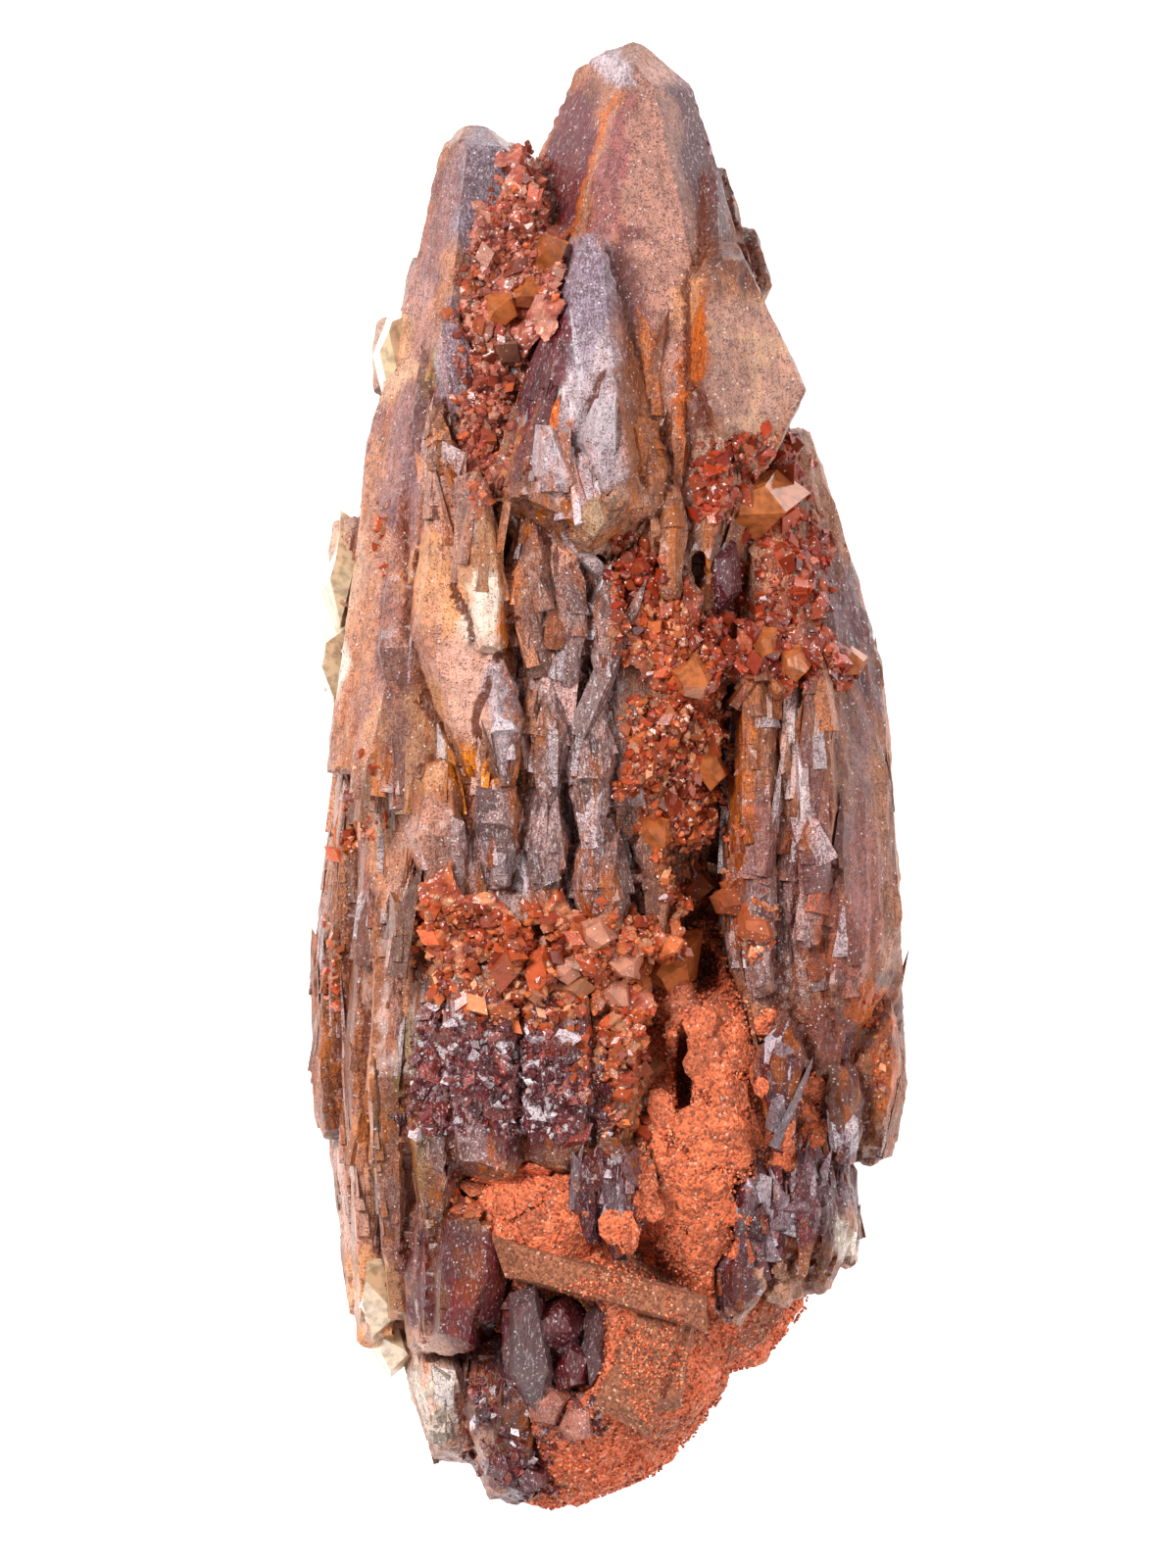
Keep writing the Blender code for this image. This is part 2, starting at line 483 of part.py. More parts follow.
def build():
    clear_scene()
    parts = new_collection("calcite_on_matrix")
    helpers = new_collection("helpers", helper=True)
    shards = UPPER_SHARDS + LEFT_SHARDS + EDGE_CRYSTALS + RIGHT_SHARDS + LOWER_SHARDS

    def crystals(grow):
        return [crystal(**row, grow=grow) for row in SPIRES] + [shard(*row, grow) for row in shards]

    def rock():
        return [lump(*row) for row in MATRIX_LUMPS] + [crystal(**BASE_CRYSTAL)]

    below = bmesh.new()
    bmesh.ops.create_cube(below, size=BLOCK * MM)
    bmesh.ops.translate(below, verts=below.verts, vec=(0, 0, -BLOCK / 2 * MM))
    ground = new_object("ground", below, helpers, helper=True)
    pits = helper_group("pit", [lump(*row) for row in PITS])
    hollow = new_object("hollow", lump(*HOLLOW), helpers, helper=True)
    near_crystals = joined("near_crystals", crystals(GAP), helpers)
    near_pocket = joined("near_pocket", [shard(*row, GAP) for row in POCKET_SHARDS], helpers)

    calcite = part("calcite_crystals", "calcite", crystals(0), [ground, pits], parts, helpers)
    solid_rock = joined("solid_rock", rock(), helpers)
    height = surface_of([calcite.data, solid_rock.data])
    near = [near_crystals]
    for name, patches, seed in (
        ("upper_druse", UPPER_DRUSE, 5), ("side_druse", SIDE_DRUSE, 8), ("band_druse", BAND_DRUSE, 3),
    ):
        part(name, "amber", druse(patches, height, seed), near + [pits], parts, helpers)
        near.append(joined("near_" + name, druse(patches, height, seed, GAP), helpers))
    part(
        "sandy_matrix", "sandstone", rock(), [ground] + near + [near_pocket, pits, hollow],
        parts, helpers,
    )
    pocket = [shard(*row) for row in POCKET_SHARDS]
    part("pocket_crystal", "calcite", pocket, near, parts, helpers)
    centre_on_origin(parts.objects)


build()
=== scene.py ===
"""Calcite on matrix: the looks of the specimen, built over its solids.

The specimen lies on its back. +Y runs along the sheaf of crystals towards its tips, +X to the
right and +Z up. The tables are in millimetres, and MM turns them into metres.
"""

import math

import bmesh
import bpy
import numpy as np
from mathutils import Matrix, Vector, noise
from mathutils.bvhtree import BVHTree
from mathutils.kdtree import KDTree


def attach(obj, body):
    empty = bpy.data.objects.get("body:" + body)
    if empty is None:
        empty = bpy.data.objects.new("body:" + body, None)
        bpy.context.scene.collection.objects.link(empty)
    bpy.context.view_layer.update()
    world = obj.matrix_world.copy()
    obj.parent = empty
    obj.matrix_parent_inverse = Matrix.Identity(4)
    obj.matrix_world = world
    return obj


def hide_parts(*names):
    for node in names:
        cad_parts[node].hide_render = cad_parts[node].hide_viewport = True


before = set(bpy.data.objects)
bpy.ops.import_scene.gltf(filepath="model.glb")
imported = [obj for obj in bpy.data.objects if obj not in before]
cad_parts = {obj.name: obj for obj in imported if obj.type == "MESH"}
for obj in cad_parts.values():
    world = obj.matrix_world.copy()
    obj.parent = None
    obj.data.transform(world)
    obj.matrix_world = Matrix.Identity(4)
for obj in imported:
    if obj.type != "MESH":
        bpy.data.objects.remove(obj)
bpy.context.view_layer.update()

MM = 0.001
BODY = "root"

# A height over the whole specimen, in millimetres.
ABOVE_ALL = 99

# The smooth noise starts from the clock unless it has a seed, and then no two runs are the same.
NOISE_SEED = 11
noise.seed_set(NOISE_SEED)

# A finish of the calcite is (colour, share of dark specks, share of pale glints).
FINISHES = {
    "cream": ((0.48, 0.265, 0.215), 0.30, 0.12),
    "peach": ((0.64, 0.34, 0.21), 0.14, 0.12),
    "blush": ((0.68, 0.41, 0.33), 0.12, 0.16),
    "rosy": ((0.36, 0.145, 0.135), 0.35, 0.12),
    # Lilac is a painted reflection of the light overhead, on the faces that face up.
    "lilac": ((0.29, 0.225, 0.27), 0.45, 0.30),
    "frost": ((0.50, 0.40, 0.42), 0.25, 0.45),
    "white": ((0.80, 0.66, 0.56), 0.10, 0.35),
    "mauve": ((0.26, 0.125, 0.115), 0.42, 0.14),
    "flank": ((0.46, 0.22, 0.14), 0.30, 0.16),
    "grey": ((0.33, 0.22, 0.21), 0.40, 0.45),
    "dusk": ((0.15, 0.06, 0.065), 0.50, 0.30),
    "slate": ((0.13, 0.065, 0.07), 0.40, 0.30),
    "plum": ((0.115, 0.022, 0.027), 0.30, 0.22),
    "wine": ((0.075, 0.012, 0.018), 0.20, 0.20),
    "brown": ((0.32, 0.125, 0.065), 0.35, 0.14),
    "umber": ((0.17, 0.07, 0.045), 0.40, 0.10),
    "honey": ((0.56, 0.34, 0.24), 0.18, 0.10),
    "olive": ((0.38, 0.27, 0.13), 0.30, 0.08),
    "rust": ((0.58, 0.13, 0.028), 0.20, 0.08),
    "amberstain": ((0.72, 0.24, 0.05), 0.10, 0.08),
}

# A zone of a finish is (x, y, half width, half length, turn, finish, strength). Turn is how far
# its long axis leans clockwise from +Y, in degrees. A later zone lies over an earlier one.
ZONES = (
    # left flank, from top down
    (-17.3, 28.1, 2.7, 10.4, 10, "mauve", 0.8),
    (-19.7, 18.5, 2.4, 9.6, 6, "flank", 0.9),
    (-19.9, 7.3, 2.4, 9.6, 4, "flank", 0.9),
    (-21.5, -5.5, 2.7, 10.4, 2, "flank", 0.9),
    (-22.5, -19.1, 2.7, 12.0, 0, "brown", 0.8),
    (-16.1, 18.5, 2.4, 9.6, 6, "cream", 0.55),
    (-17.7, 2.5, 3.2, 7.2, 2, "mauve", 0.5),
    (-16.1, -8.7, 3.2, 8.8, 0, "flank", 0.7),
    (-18.9, -16.7, 3.2, 11.2, 0, "flank", 0.7),
    (-17.7, -31.1, 4.0, 9.6, 0, "brown", 0.6),
    # main spire
    (2.7, 36.1, 3.7, 11.2, 0, "cream", 0.95),
    (3.8, 48.1, 2.9, 10.4, -8, "cream", 0.95),
    # The plum face at the left and the dusk faces at the right of the main spire are partly its dark colour
    # and partly painted shade.
    (-3.5, 49.7, 2.2, 7.0, 14, "plum", 0.97),
    (0.6, 50.1, 1.0, 7.2, 9, "rosy", 0.9),
    (7.5, 50.5, 1.5, 6.7, -16, "dusk", 0.97),
    (5.9, 55.6, 1.2, 2.9, -20, "dusk", 0.85),
    (4.4, 57.8, 1.9, 1.3, -35, "cream", 0.9),
    (-0.1, 58.5, 2.6, 1.3, 38, "frost", 0.95),
    (-1.3, 50.1, 0.3, 6.4, 14, "rust", 0.75),
    (1.5, 44.4, 1.3, 0.7, 0, "plum", 0.7),
    (2.3, 31.3, 2.6, 5.6, -4, "brown", 0.55),
    # group at the right of it
    (10.5, 43.3, 2.7, 4.6, -28, "umber", 0.9),
    (9.4, 46.9, 1.1, 2.4, -20, "dusk", 0.7),
    (11.9, 39.3, 1.8, 1.4, 0, "brown", 0.6),
    # honey crystal
    (12.1, 33.5, 4.3, 5.8, -8, "honey", 0.97),
    (9.4, 31.3, 2.1, 4.8, 4, "mauve", 0.55),
    (14.3, 31.3, 2.1, 3.2, 0, "cream", 0.7),
    (11.9, 37.3, 4.0, 1.3, 10, "cream", 0.8),
    (6.5, 31.3, 0.8, 8.0, 8, "rust", 0.75),
    (6.3, 38.5, 1.1, 2.9, 20, "peach", 0.7),
    (9.9, 26.9, 4.0, 2.4, 0, "honey", 0.6),
    # centre spire
    # The lilac faces are a painted reflection of the light overhead; the plum face at the left is partly dark
    # calcite and partly painted shade.
    (-1.7, 39.3, 2.4, 5.0, 2, "lilac", 0.97),
    (-1.7, 31.3, 3.0, 5.6, 0, "frost", 0.9),
    (-2.3, 35.3, 1.6, 3.2, 0, "lilac", 0.7),
    (-5.5, 32.1, 1.4, 8.8, 12, "plum", 0.97),
    (2.3, 35.7, 1.4, 8.8, -10, "plum", 0.7),
    (3.0, 29.7, 1.9, 7.2, -6, "brown", 0.8),
    (-2.5, 25.7, 3.7, 3.4, 0, "frost", 0.9),
    (-4.1, 28.2, 1.4, 0.8, 30, "rust", 0.8),
    (-1.2, 19.7, 1.8, 2.1, 0, "honey", 0.75),
    # left spire
    # The lilac faces are a painted reflection of the light overhead.
    (-9.9, 48.1, 3.0, 6.1, 8, "lilac", 0.97),
    (-8.1, 50.1, 1.1, 3.2, -10, "brown", 0.6),
    (-14.0, 44.1, 1.6, 6.7, 14, "mauve", 0.9),
    (-12.7, 33.7, 1.4, 4.8, 2, "lilac", 0.85),
    (-14.8, 32.5, 0.8, 2.4, 8, "olive", 0.7),
    (-16.1, 36.9, 1.6, 4.8, 10, "cream", 0.6),
    # left lobes
    (-12.2, 16.1, 3.7, 5.6, 4, "peach", 0.9),
    (-11.3, 7.3, 3.7, 4.5, 0, "blush", 0.95),
    (-9.9, 13.5, 1.6, 3.7, 0, "white", 0.9),
    (-12.1, 21.7, 1.8, 4.0, 10, "cream", 0.85),
    (-8.5, 4.9, 1.4, 4.2, -4, "frost", 0.9),
    (-14.5, 7.3, 1.4, 7.2, 6, "cream", 0.6),
    (-14.8, 3.3, 1.6, 4.8, 0, "peach", 0.8),
    (-11.4, 0.1, 1.9, 1.6, 0, "amberstain", 0.8),
    (-14.5, -5.5, 2.1, 4.0, 0, "cream", 0.6),
    (-8.1, 12.1, 0.5, 4.8, 0, "rust", 0.5),
    # middle plates
    (-4.9, 15.3, 2.1, 4.8, 4, "cream", 0.7),
    (-6.1, 18.5, 1.1, 5.6, 0, "umber", 0.5),
    (-1.7, 13.7, 1.6, 5.6, 0, "grey", 0.7),
    (-4.1, 8.1, 2.1, 3.7, 0, "grey", 0.8),
    (-0.7, 5.7, 2.1, 4.8, 0, "grey", 0.8),
    (-5.7, 0.1, 2.2, 4.8, 0, "brown", 0.7),
    (-2.5, -0.7, 3.2, 4.8, 0, "grey", 0.75),
    (-8.1, -4.7, 3.7, 4.0, 0, "grey", 0.8),
    (-9.7, -7.9, 3.7, 3.5, 0, "frost", 0.5),
    (-1.7, -7.1, 4.8, 4.0, 0, "grey", 0.85),
    (1.5, -8.7, 3.2, 3.2, 0, "umber", 0.6),
    (-7.3, 4.1, 0.6, 6.4, 6, "umber", 0.7),
    (-6.5, 23.3, 0.8, 4.8, 0, "umber", 0.6),
    # right column
    (9.9, 7.3, 2.1, 5.6, 0, "slate", 0.85),
    (14.3, 3.3, 2.9, 8.8, 0, "brown", 0.85),
    (18.3, 2.5, 2.9, 12.0, 0, "mauve", 0.8),
    (20.7, 11.3, 1.1, 7.2, -8, "dusk", 0.8),
    (14.3, -7.1, 4.0, 5.6, 0, "mauve", 0.8),
    (19.9, -10.3, 2.9, 7.2, 0, "rosy", 0.7),
    (13.5, -13.5, 4.0, 4.8, 0, "grey", 0.75),
    (11.1, -0.7, 1.1, 8.8, 0, "rust", 0.45),
    (16.9, -4.3, 1.0, 2.6, 6, "plum", 0.97),
    (19.1, 12.1, 1.3, 5.6, -14, "dusk", 0.7),
    (18.3, -12.7, 0.8, 3.2, 0, "rust", 0.4),
    # right edge, lower
    (22.3, -20.7, 2.4, 4.8, 0, "umber", 0.9),
    (22.7, -27.1, 2.4, 4.8, 0, "brown", 0.9),
    (20.7, -18.3, 1.3, 1.6, 0, "rust", 0.9),
    (22.7, -22.7, 0.7, 4.8, 0, "rust", 0.7),
    (20.1, -25.5, 0.8, 4.8, 0, "wine", 0.8),
    (15.9, -21.5, 4.8, 3.2, 0, "plum", 0.6),
    (14.6, -25.5, 2.1, 4.8, 0, "wine", 0.95),
    (18.2, -26.3, 1.3, 4.8, 0, "umber", 0.8),
    # lower block
    (-8.1, -24.7, 8.6, 6.7, 0, "plum", 0.95),
    (-1.7, -22.3, 4.0, 4.0, 0, "plum", 0.8),
    (-13.7, -21.5, 2.4, 4.8, 0, "frost", 0.6),
    (-15.7, -26.3, 1.3, 7.2, 0, "olive", 0.6),
    (-12.1, -29.5, 3.2, 3.2, 0, "grey", 0.7),
    # lower left edge
    (-20.9, -32.7, 1.6, 7.2, 0, "blush", 0.6),
    (-18.9, -43.1, 2.4, 4.8, 0, "peach", 0.95),
    (-18.9, -46.3, 2.1, 1.9, 0, "amberstain", 0.6),
    (-17.3, -35.9, 1.6, 6.4, 0, "cream", 0.7),
    (-12.1, -41.5, 4.2, 6.4, 0, "plum", 0.92),
    (-14.1, -40.7, 0.5, 5.6, 0, "olive", 0.8),
    (-9.7, -35.9, 3.2, 1.6, 0, "brown", 0.8),
    (-14.5, -50.7, 3.0, 3.7, 0, "white", 0.97),
    (-14.5, -47.5, 2.4, 1.6, 0, "blush", 0.7),
    (-9.7, -48.7, 2.4, 4.8, 0, "wine", 0.8),
    (-8.1, -54.3, 4.5, 5.6, -30, "umber", 0.9),
    (-6.5, -57.9, 3.2, 2.1, 0, "plum", 0.9),
    (-11.3, -55.1, 2.4, 1.6, 0, "blush", 0.6),
    # dark groups
    (-0.4, -35.1, 4.0, 5.1, 0, "wine", 0.95),
    (14.3, -33.9, 5.9, 5.3, 0, "plum", 0.95),
    (11.1, -37.5, 3.2, 4.0, 0, "wine", 0.7),
    (17.9, -32.7, 3.2, 3.5, 0, "dusk", 0.8),
    (19.3, -37.7, 1.3, 1.8, 0, "white", 0.97),
    (14.3, -41.1, 4.0, 1.6, 0, "honey", 0.8),
    (10.3, -41.5, 2.4, 2.1, 0, "wine", 0.9),
    (5.5, -41.1, 1.3, 1.4, 0, "wine", 0.9),
    (16.7, -40.7, 2.1, 2.4, 0, "brown", 0.8),
    # pocket
    (-4.5, -47.1, 4.8, 6.4, 0, "wine", 0.97),
    (-7.9, -48.7, 1.6, 3.2, 10, "slate", 0.95),
    (-1.3, -47.1, 1.1, 4.8, 0, "dusk", 0.9),
    (-3.4, -52.7, 2.7, 2.9, 0, "blush", 0.85),
    (-5.2, -45.1, 2.4, 1.4, 0, "plum", 0.8),
    # pale edge crystals
    (-17.7, 34.7, 1.9, 3.8, 0, "honey", 0.97),
    (-21.9, 17.1, 1.9, 4.6, 0, "honey", 0.97),
    (-22.8, 9.1, 1.8, 3.4, 0, "white", 0.9),
    (-18.6, -43.1, 2.4, 3.8, 0, "peach", 0.97),
    # seams and shaded strips between the crystals
    (-16.7, 24.9, 1.6, 5.6, 6, "mauve", 0.75),
    (-18.1, 12.1, 1.1, 4.8, 4, "mauve", 0.6),
    (17.9, 2.5, 1.0, 9.6, 0, "brown", 0.5),
    (14.3, -0.7, 1.1, 5.6, 0, "flank", 0.8),
    (17.1, 5.7, 0.8, 4.0, 0, "flank", 0.6),
    (11.9, 12.1, 1.3, 4.0, 0, "umber", 0.7),
    (-16.5, 21.7, 1.0, 4.8, 4, "dusk", 0.55),
    (-19.9, -9.1, 0.8, 7.2, 0, "plum", 0.5),
    (-21.7, -17.5, 0.6, 6.4, 0, "umber", 0.6),
    (-17.7, -17.5, 0.8, 8.8, 0, "cream", 0.7),
    (-18.9, 0.1, 1.3, 7.2, 0, "peach", 0.6),
    (-21.5, -21.5, 1.3, 8.8, 0, "brown", 0.8),
    (-14.5, -40.7, 2.4, 4.8, 0, "plum", 0.7),
    (-19.3, -28.7, 1.1, 7.2, 0, "peach", 0.5),
    (18.3, 2.5, 1.3, 12.8, -6, "brown", 0.6),
    (19.1, -13.5, 1.1, 7.2, 0, "umber", 0.5),
    # A lilac face: a painted reflection of the light overhead.
    (-9.3, 47.3, 1.0, 4.8, 0, "lilac", 0.9),
)

# Where the crystal faces are smooth: (x, y, half width, half length, turn, how rough they still are).
SMOOTH = (
    (3.5, 46.0, 6.5, 22.0, -4, 0), (-1.5, 38.5, 3.8, 8.0, 0, 0), (-10.0, 48.0, 4.0, 7.5, 8, 0),
    (12.0, 33.0, 5.0, 6.0, 0, 0), (-12.5, 14.0, 3.4, 5.0, 0, 0.15), (-11.5, 7.5, 3.4, 4.5, 0, 0.15),
    (-3.6, 49.5, 2.6, 7.0, 12, 0), (-20.0, 8.0, 6.0, 34.0, 3, 0.45), (18.0, 2.0, 4.0, 18.0, -4, 0.5),
    (-18.5, -22.0, 5.0, 20.0, 0, 0.6), (-15.5, 36.0, 3.5, 12.0, 12, 0.4), (-11.6, -41.0, 4.5, 7.5, 0, 0.4),
    (-17.8, 34.7, 1.8, 3.8, 0, 0), (-21.7, 17.1, 1.8, 4.6, 0, 0), (-22.6, 9.1, 1.6, 3.4, 0, 0),
    (-18.7, -43.1, 2.2, 3.8, 0, 0),
)

# Where no small plates grow.
BARE = (
    (-11.8, 10.5, 3.6, 8.0, 0), (2.0, 49.0, 10.5, 14.0, 0), (-11.0, 47.0, 6.0, 10.0, 8),
    (-2.0, -58.0, 14.0, 5.0, 0), (-8.1, -24.7, 8.5, 6.0, 0), (-18.3, 34.7, 2.2, 4.2, 0),
    (-22.2, 17.1, 2.2, 5.0, 0), (-23.0, 9.1, 2.2, 3.8, 0), (-19.2, -43.1, 2.8, 4.2, 0),
    (-4.5, -47.1, 6.0, 8.0, 0),
)

# Patches of small crystals or sand: (x, y, half width, half length, turn).
UPPER_PATCHES = (
    (-6.1, 48.1, 1.1, 4, 0), (-8.1, 44.9, 3, 3.2, 0), (-9.7, 39.3, 3, 3.2, 0),
    (-5.4, 41.8, 2.1, 2.4, 0), (-9.9, 32.1, 2.6, 4.8, 0), (-10.1, 25.7, 2.2, 3.5, 0),
    (-10.9, 36.9, 1.6, 1.6, 0),
)
SIDE_PATCHES = (
    (11.9, 26.1, 4.2, 1.9, 0), (15.5, 25.3, 1.4, 2.1, 0), (12.3, 21.7, 4, 2.9, 0),
    (8.3, 23.3, 1.6, 2.1, 0), (15.9, 18.1, 2.2, 4.5, 0), (13.5, 14.5, 3.2, 3.7, 0),
    (16.9, 14.5, 1.1, 3.7, 0), (9.9, 10.9, 3.2, 2.4, 0), (14.3, 8.9, 4.8, 1.8, 0),
    (19.3, 8.5, 1.4, 1.3, 0), (2.2, 16.1, 2.2, 3.5, 0), (1.5, 12.1, 1.3, 3.2, 0),
)
STRIP_PATCHES = (
    (3.9, 11.7, 2.7, 3.2, 0), (6.3, 8.1, 3, 3.2, 0), (5.4, 3.3, 4.3, 4, 0), (5.5, -1.5, 4.5, 3.5, 0),
    (6.3, -5.5, 3.8, 3.5, 0), (7.8, -9.1, 3, 2.4, 0), (9.4, 0.1, 1, 2.9, 0), (10.5, -11.8, 3.5, 3.2, 0),
)
BAND_PATCHES = (
    (-12.1, -12.7, 3.5, 2.7, 0), (-14.3, -14.7, 1.6, 2.4, 0), (-7.3, -13.5, 3.5, 2.9, 0),
    (-1.7, -14.3, 4, 3.4, 0), (3.1, -14.7, 2.9, 2.6, 0), (6.3, -15.5, 1.4, 2.1, 0),
    (-12.1, -17.5, 3.2, 1.9, 0), (-4.9, -18.3, 4.8, 2.1, 0), (0.1, -21.5, 3.5, 3.2, 0),
    (2.3, -25.7, 2.9, 4, 0), (-1.7, -24.7, 1.3, 2.4, 0), (-9.7, -19.5, 2.4, 1, 0),
)
STRAY_PATCHES = (
    (-18.6, 19.4, 0.8, 3.4, 0), (-19.9, -1.9, 1.6, 3.8, 0), (-22.6, -15.1, 0.8, 4, 0),
    (21.9, -19.1, 1.1, 1.9, 0), (22.3, -23.5, 0.6, 3.5, 0), (-21.8, -5.5, 1.3, 1.1, 0),
    (-11.4, -34.5, 2.1, 1.8, 0),
)
SAND_PATCHES = (
    (-6.5, -35, 5, 2.6, 0), (-9.3, -33.7, 2.2, 1.6, 0), (-4.5, -37.4, 2.9, 1.8, 0),
    (7.3, -25.5, 3.2, 5.6, 0), (5.9, -32.7, 3.8, 4.8, 0), (7.9, -36.7, 4.5, 3.2, 0),
    (3.1, -36.7, 2.9, 2.4, 0), (9.7, -28.7, 2.9, 4.5, 0), (13.5, -30.3, 2.1, 1.6, 0),
    (16.6, -27.1, 1, 2.9, 0), (9.9, -20.7, 2.9, 2.4, 0),
)
SPLINTER_PATCHES = (
    (-0.4, -35, 3.4, 4.3, 0), (14.3, -33.7, 5, 3.8, 0), (11.5, -37.7, 2.7, 3, 0),
    (18.3, -31.9, 1.8, 3.2, 0), (14.6, -25.5, 1.8, 3.7, 0), (9.1, 15.7, 1.1, 1.9, 0),
)
POCKET_PATCHES = (
    (-10.5, -50.5, 1.6, 3.5, 0), (-7.5, -56.0, 3.6, 3.2, 0), (-3.5, -52.0, 3.0, 2.6, 0),
    (-7.0, -43.5, 2.0, 1.2, 0),
)
DARK_PATCHES = ((-8.1, -24.7, 8, 5.6, 0), (-13.7, -21.1, 1.9, 3.2, 0))
STEP_PATCHES = ((-18.6, 0.4, 2.8, 1.6, 0), (-18.4, -11.4, 2.2, 1.4, 0), (12.6, 7.4, 1.4, 1.4, 0))
BROAD_PATCHES = (
    (-1.5, 25.0, 4.2, 5.0, 0), (-3.0, 19.5, 3.0, 4.0, 0), (-4.0, 9.0, 4.5, 9.0, 0),
    (-3.0, -3.5, 6.5, 6.5, 0), (-10.0, -6.5, 4.0, 4.5, 0), (15.0, 2.0, 4.0, 9.0, 0),
    (17.0, -10.0, 4.5, 7.0, 0), (-13.5, 26.0, 2.2, 7.0, 0), (3.5, 27.0, 2.0, 6.0, 0),
)

# The dark holes between the crystals, which stay open.
PITS = ((6.2, -24.2, 1.1, 4.6, 0), (7.9, -15.8, 1.9, 2.9, 0), (7.4, 16.6, 0.9, 2.2, 0))

# Larger single crystals: (x, y, (width, length, depth), turn, finish). The turn of a single crystal
# or a slab is anticlockwise, in degrees.
BLOCK_CRYSTALS = (
    (11.9, 21.8, (5.4, 4.4, 4.8), 20, "amber"),
    (-4.8, 42.1, (2.4, 2.8, 2.6), -20, "amber"),
    (-6.3, 39.3, (3.2, 2.4, 2.6), 30, "amber"),
    (-8.5, 37.8, (2.8, 2.6, 2.4), 10, "amber"),
    (5.5, -15.5, (4.4, 3.4, 3.4), 65, "amber"),
    (15.3, 8.9, (2.4, 2.4, 2.4), 15, "amber"),
    (19.8, 8.9, (1.9, 2.2, 2.0), 40, "amber"),
    (9.1, 15.9, (2.8, 4.8, 2.8), -8, "dark"),
    (6.8, 7.5, (2.8, 3.0, 2.6), 30, "amber"),
    (3.8, -4.9, (2.0, 2.4, 2.2), 0, "amber"),
    (8.3, 0.5, (2.0, 3.0, 2.2), 10, "amber"),
    (12.7, 10.5, (2.0, 2.4, 2.2), -20, "amber"),
    (-1.0, -13.2, (2.6, 2.4, 2.6), 10, "rosy"),
    (1.4, -15.4, (2.4, 2.8, 2.4), 50, "rosy"),
    (-3.4, -15.8, (2.2, 2.4, 2.2), 80, "rosy"),
    (0.6, -18.0, (2.2, 2.0, 2.0), -20, "rosy"),
    (10.2, -10.4, (2.8, 2.6, 2.2), 35, "rust"),
    (12.2, -12.6, (2.6, 2.4, 2.0), 5, "rust"),
    (9.2, -13.2, (2.4, 2.2, 2.0), 70, "rust"),
    (7.4, -9.0, (2.4, 2.2, 2.0), 20, "rust"),
    (-6.6, -46.6, (3.4, 9.0, 3.0), 6, "slate"),
    (-0.9, -46.6, (2.6, 8.0, 3.0), -8, "slate"),
    (-4.4, -45.0, (3.6, 3.6, 3.0), 20, "wine"),
    (-3.2, -48.6, (2.8, 4.0, 2.4), -30, "wine"),
    (-5.0, -51.4, (3.0, 3.2, 2.0), 40, "pink"),
    (-2.4, -52.6, (2.6, 3.4, 2.0), -10, "pink"),
    (-9.0, -56.4, (2.0, 2.6, 2.0), 20, "dark"),
    (-6.4, -57.6, (2.2, 2.4, 2.0), -20, "dark"),
    (-4.5, 25.0, (3.0, 5.0, 2.4), 12, "frost"),
    (-0.4, 27.5, (2.6, 5.6, 2.4), -8, "frost"),
    (-1.4, 20.8, (2.4, 3.2, 2.4), 10, "honey"),
)

BLOCK_TINTS = dict(
    amber=(0.6, 0.2, 0.05), dark=(0.10, 0.025, 0.03), rosy=(0.60, 0.24, 0.15), rust=(0.46, 0.11, 0.04),
    slate=(0.13, 0.075, 0.075), wine=(0.10, 0.018, 0.02), pink=(0.50, 0.22, 0.17), frost=(0.56, 0.46, 0.48),
    honey=(0.60, 0.38, 0.24),
)

# Slabs coated in brown sand round the pocket: (x, y, (width, length, depth), turn).
SAND_SLABS = (
    (-0.5, -41.5, (15.4, 2.6, 2.0), -16), (5.4, -47.0, (2.2, 8.6, 1.8), -8),
    (2.6, -48.0, (4.6, 8.6, 1.2), -20),
)
SLAB_TINT = (0.34, 0.11, 0.05)

# Pale clear crystals on the left edge: (x, y, (width, length, depth), turn).
EDGE_CRYSTALS = (
    (-17.6, 34.7, (2.4, 6.6, 4.0), -8), (-21.6, 17.1, (2.6, 8.2, 4.4), -4), (-22.4, 9.1, (2.4, 5.6, 4.2), 0),
    (-18.8, -42.4, (3.2, 7.4, 4.0), -5), (-17.8, -46.4, (2.6, 4.0, 3.0), 12),
)
EDGE_TINT = (0.7, 0.5, 0.35)

# What lies on or in the calcite's surface, and the painted shade, sheen and glints laid over it.
DARK_SPECK = (0.085, 0.028, 0.03)
RUST_STAIN = (0.44, 0.125, 0.035)
CRACK = (0.09, 0.028, 0.022)
# The next colour is painted shade, put in the crevices and hollows between the crystals.
CREVICE_SHADE = (0.12, 0.032, 0.018)
# The next two colours are painted sheen and painted glints, pale reflections put into the calcite's colour.
SHEEN_COLOUR = (0.86, 0.78, 0.80)
GLINT_COLOUR = (0.95, 0.86, 0.84)


def elliptic(points, x, y, across, along, turn):
    """How far points lie from the middle of an ellipse: 1 on its rim."""
    angle = math.radians(turn)
    dx, dy = points[:, 0] - x, points[:, 1] - y
    u = (dx * math.cos(angle) - dy * math.sin(angle)) / across
    v = (dx * math.sin(angle) + dy * math.cos(angle)) / along
    return np.hypot(u, v)


def drift(points, size, seed):
    """A smooth random vector for each point, with features of this size in millimetres."""
    moved = points / size + np.array((seed * 13.7, seed * 5.1, seed * 9.3))
    return np.array([noise.noise_vector(point)[:] for point in moved.tolist()]).reshape(-1, 3)


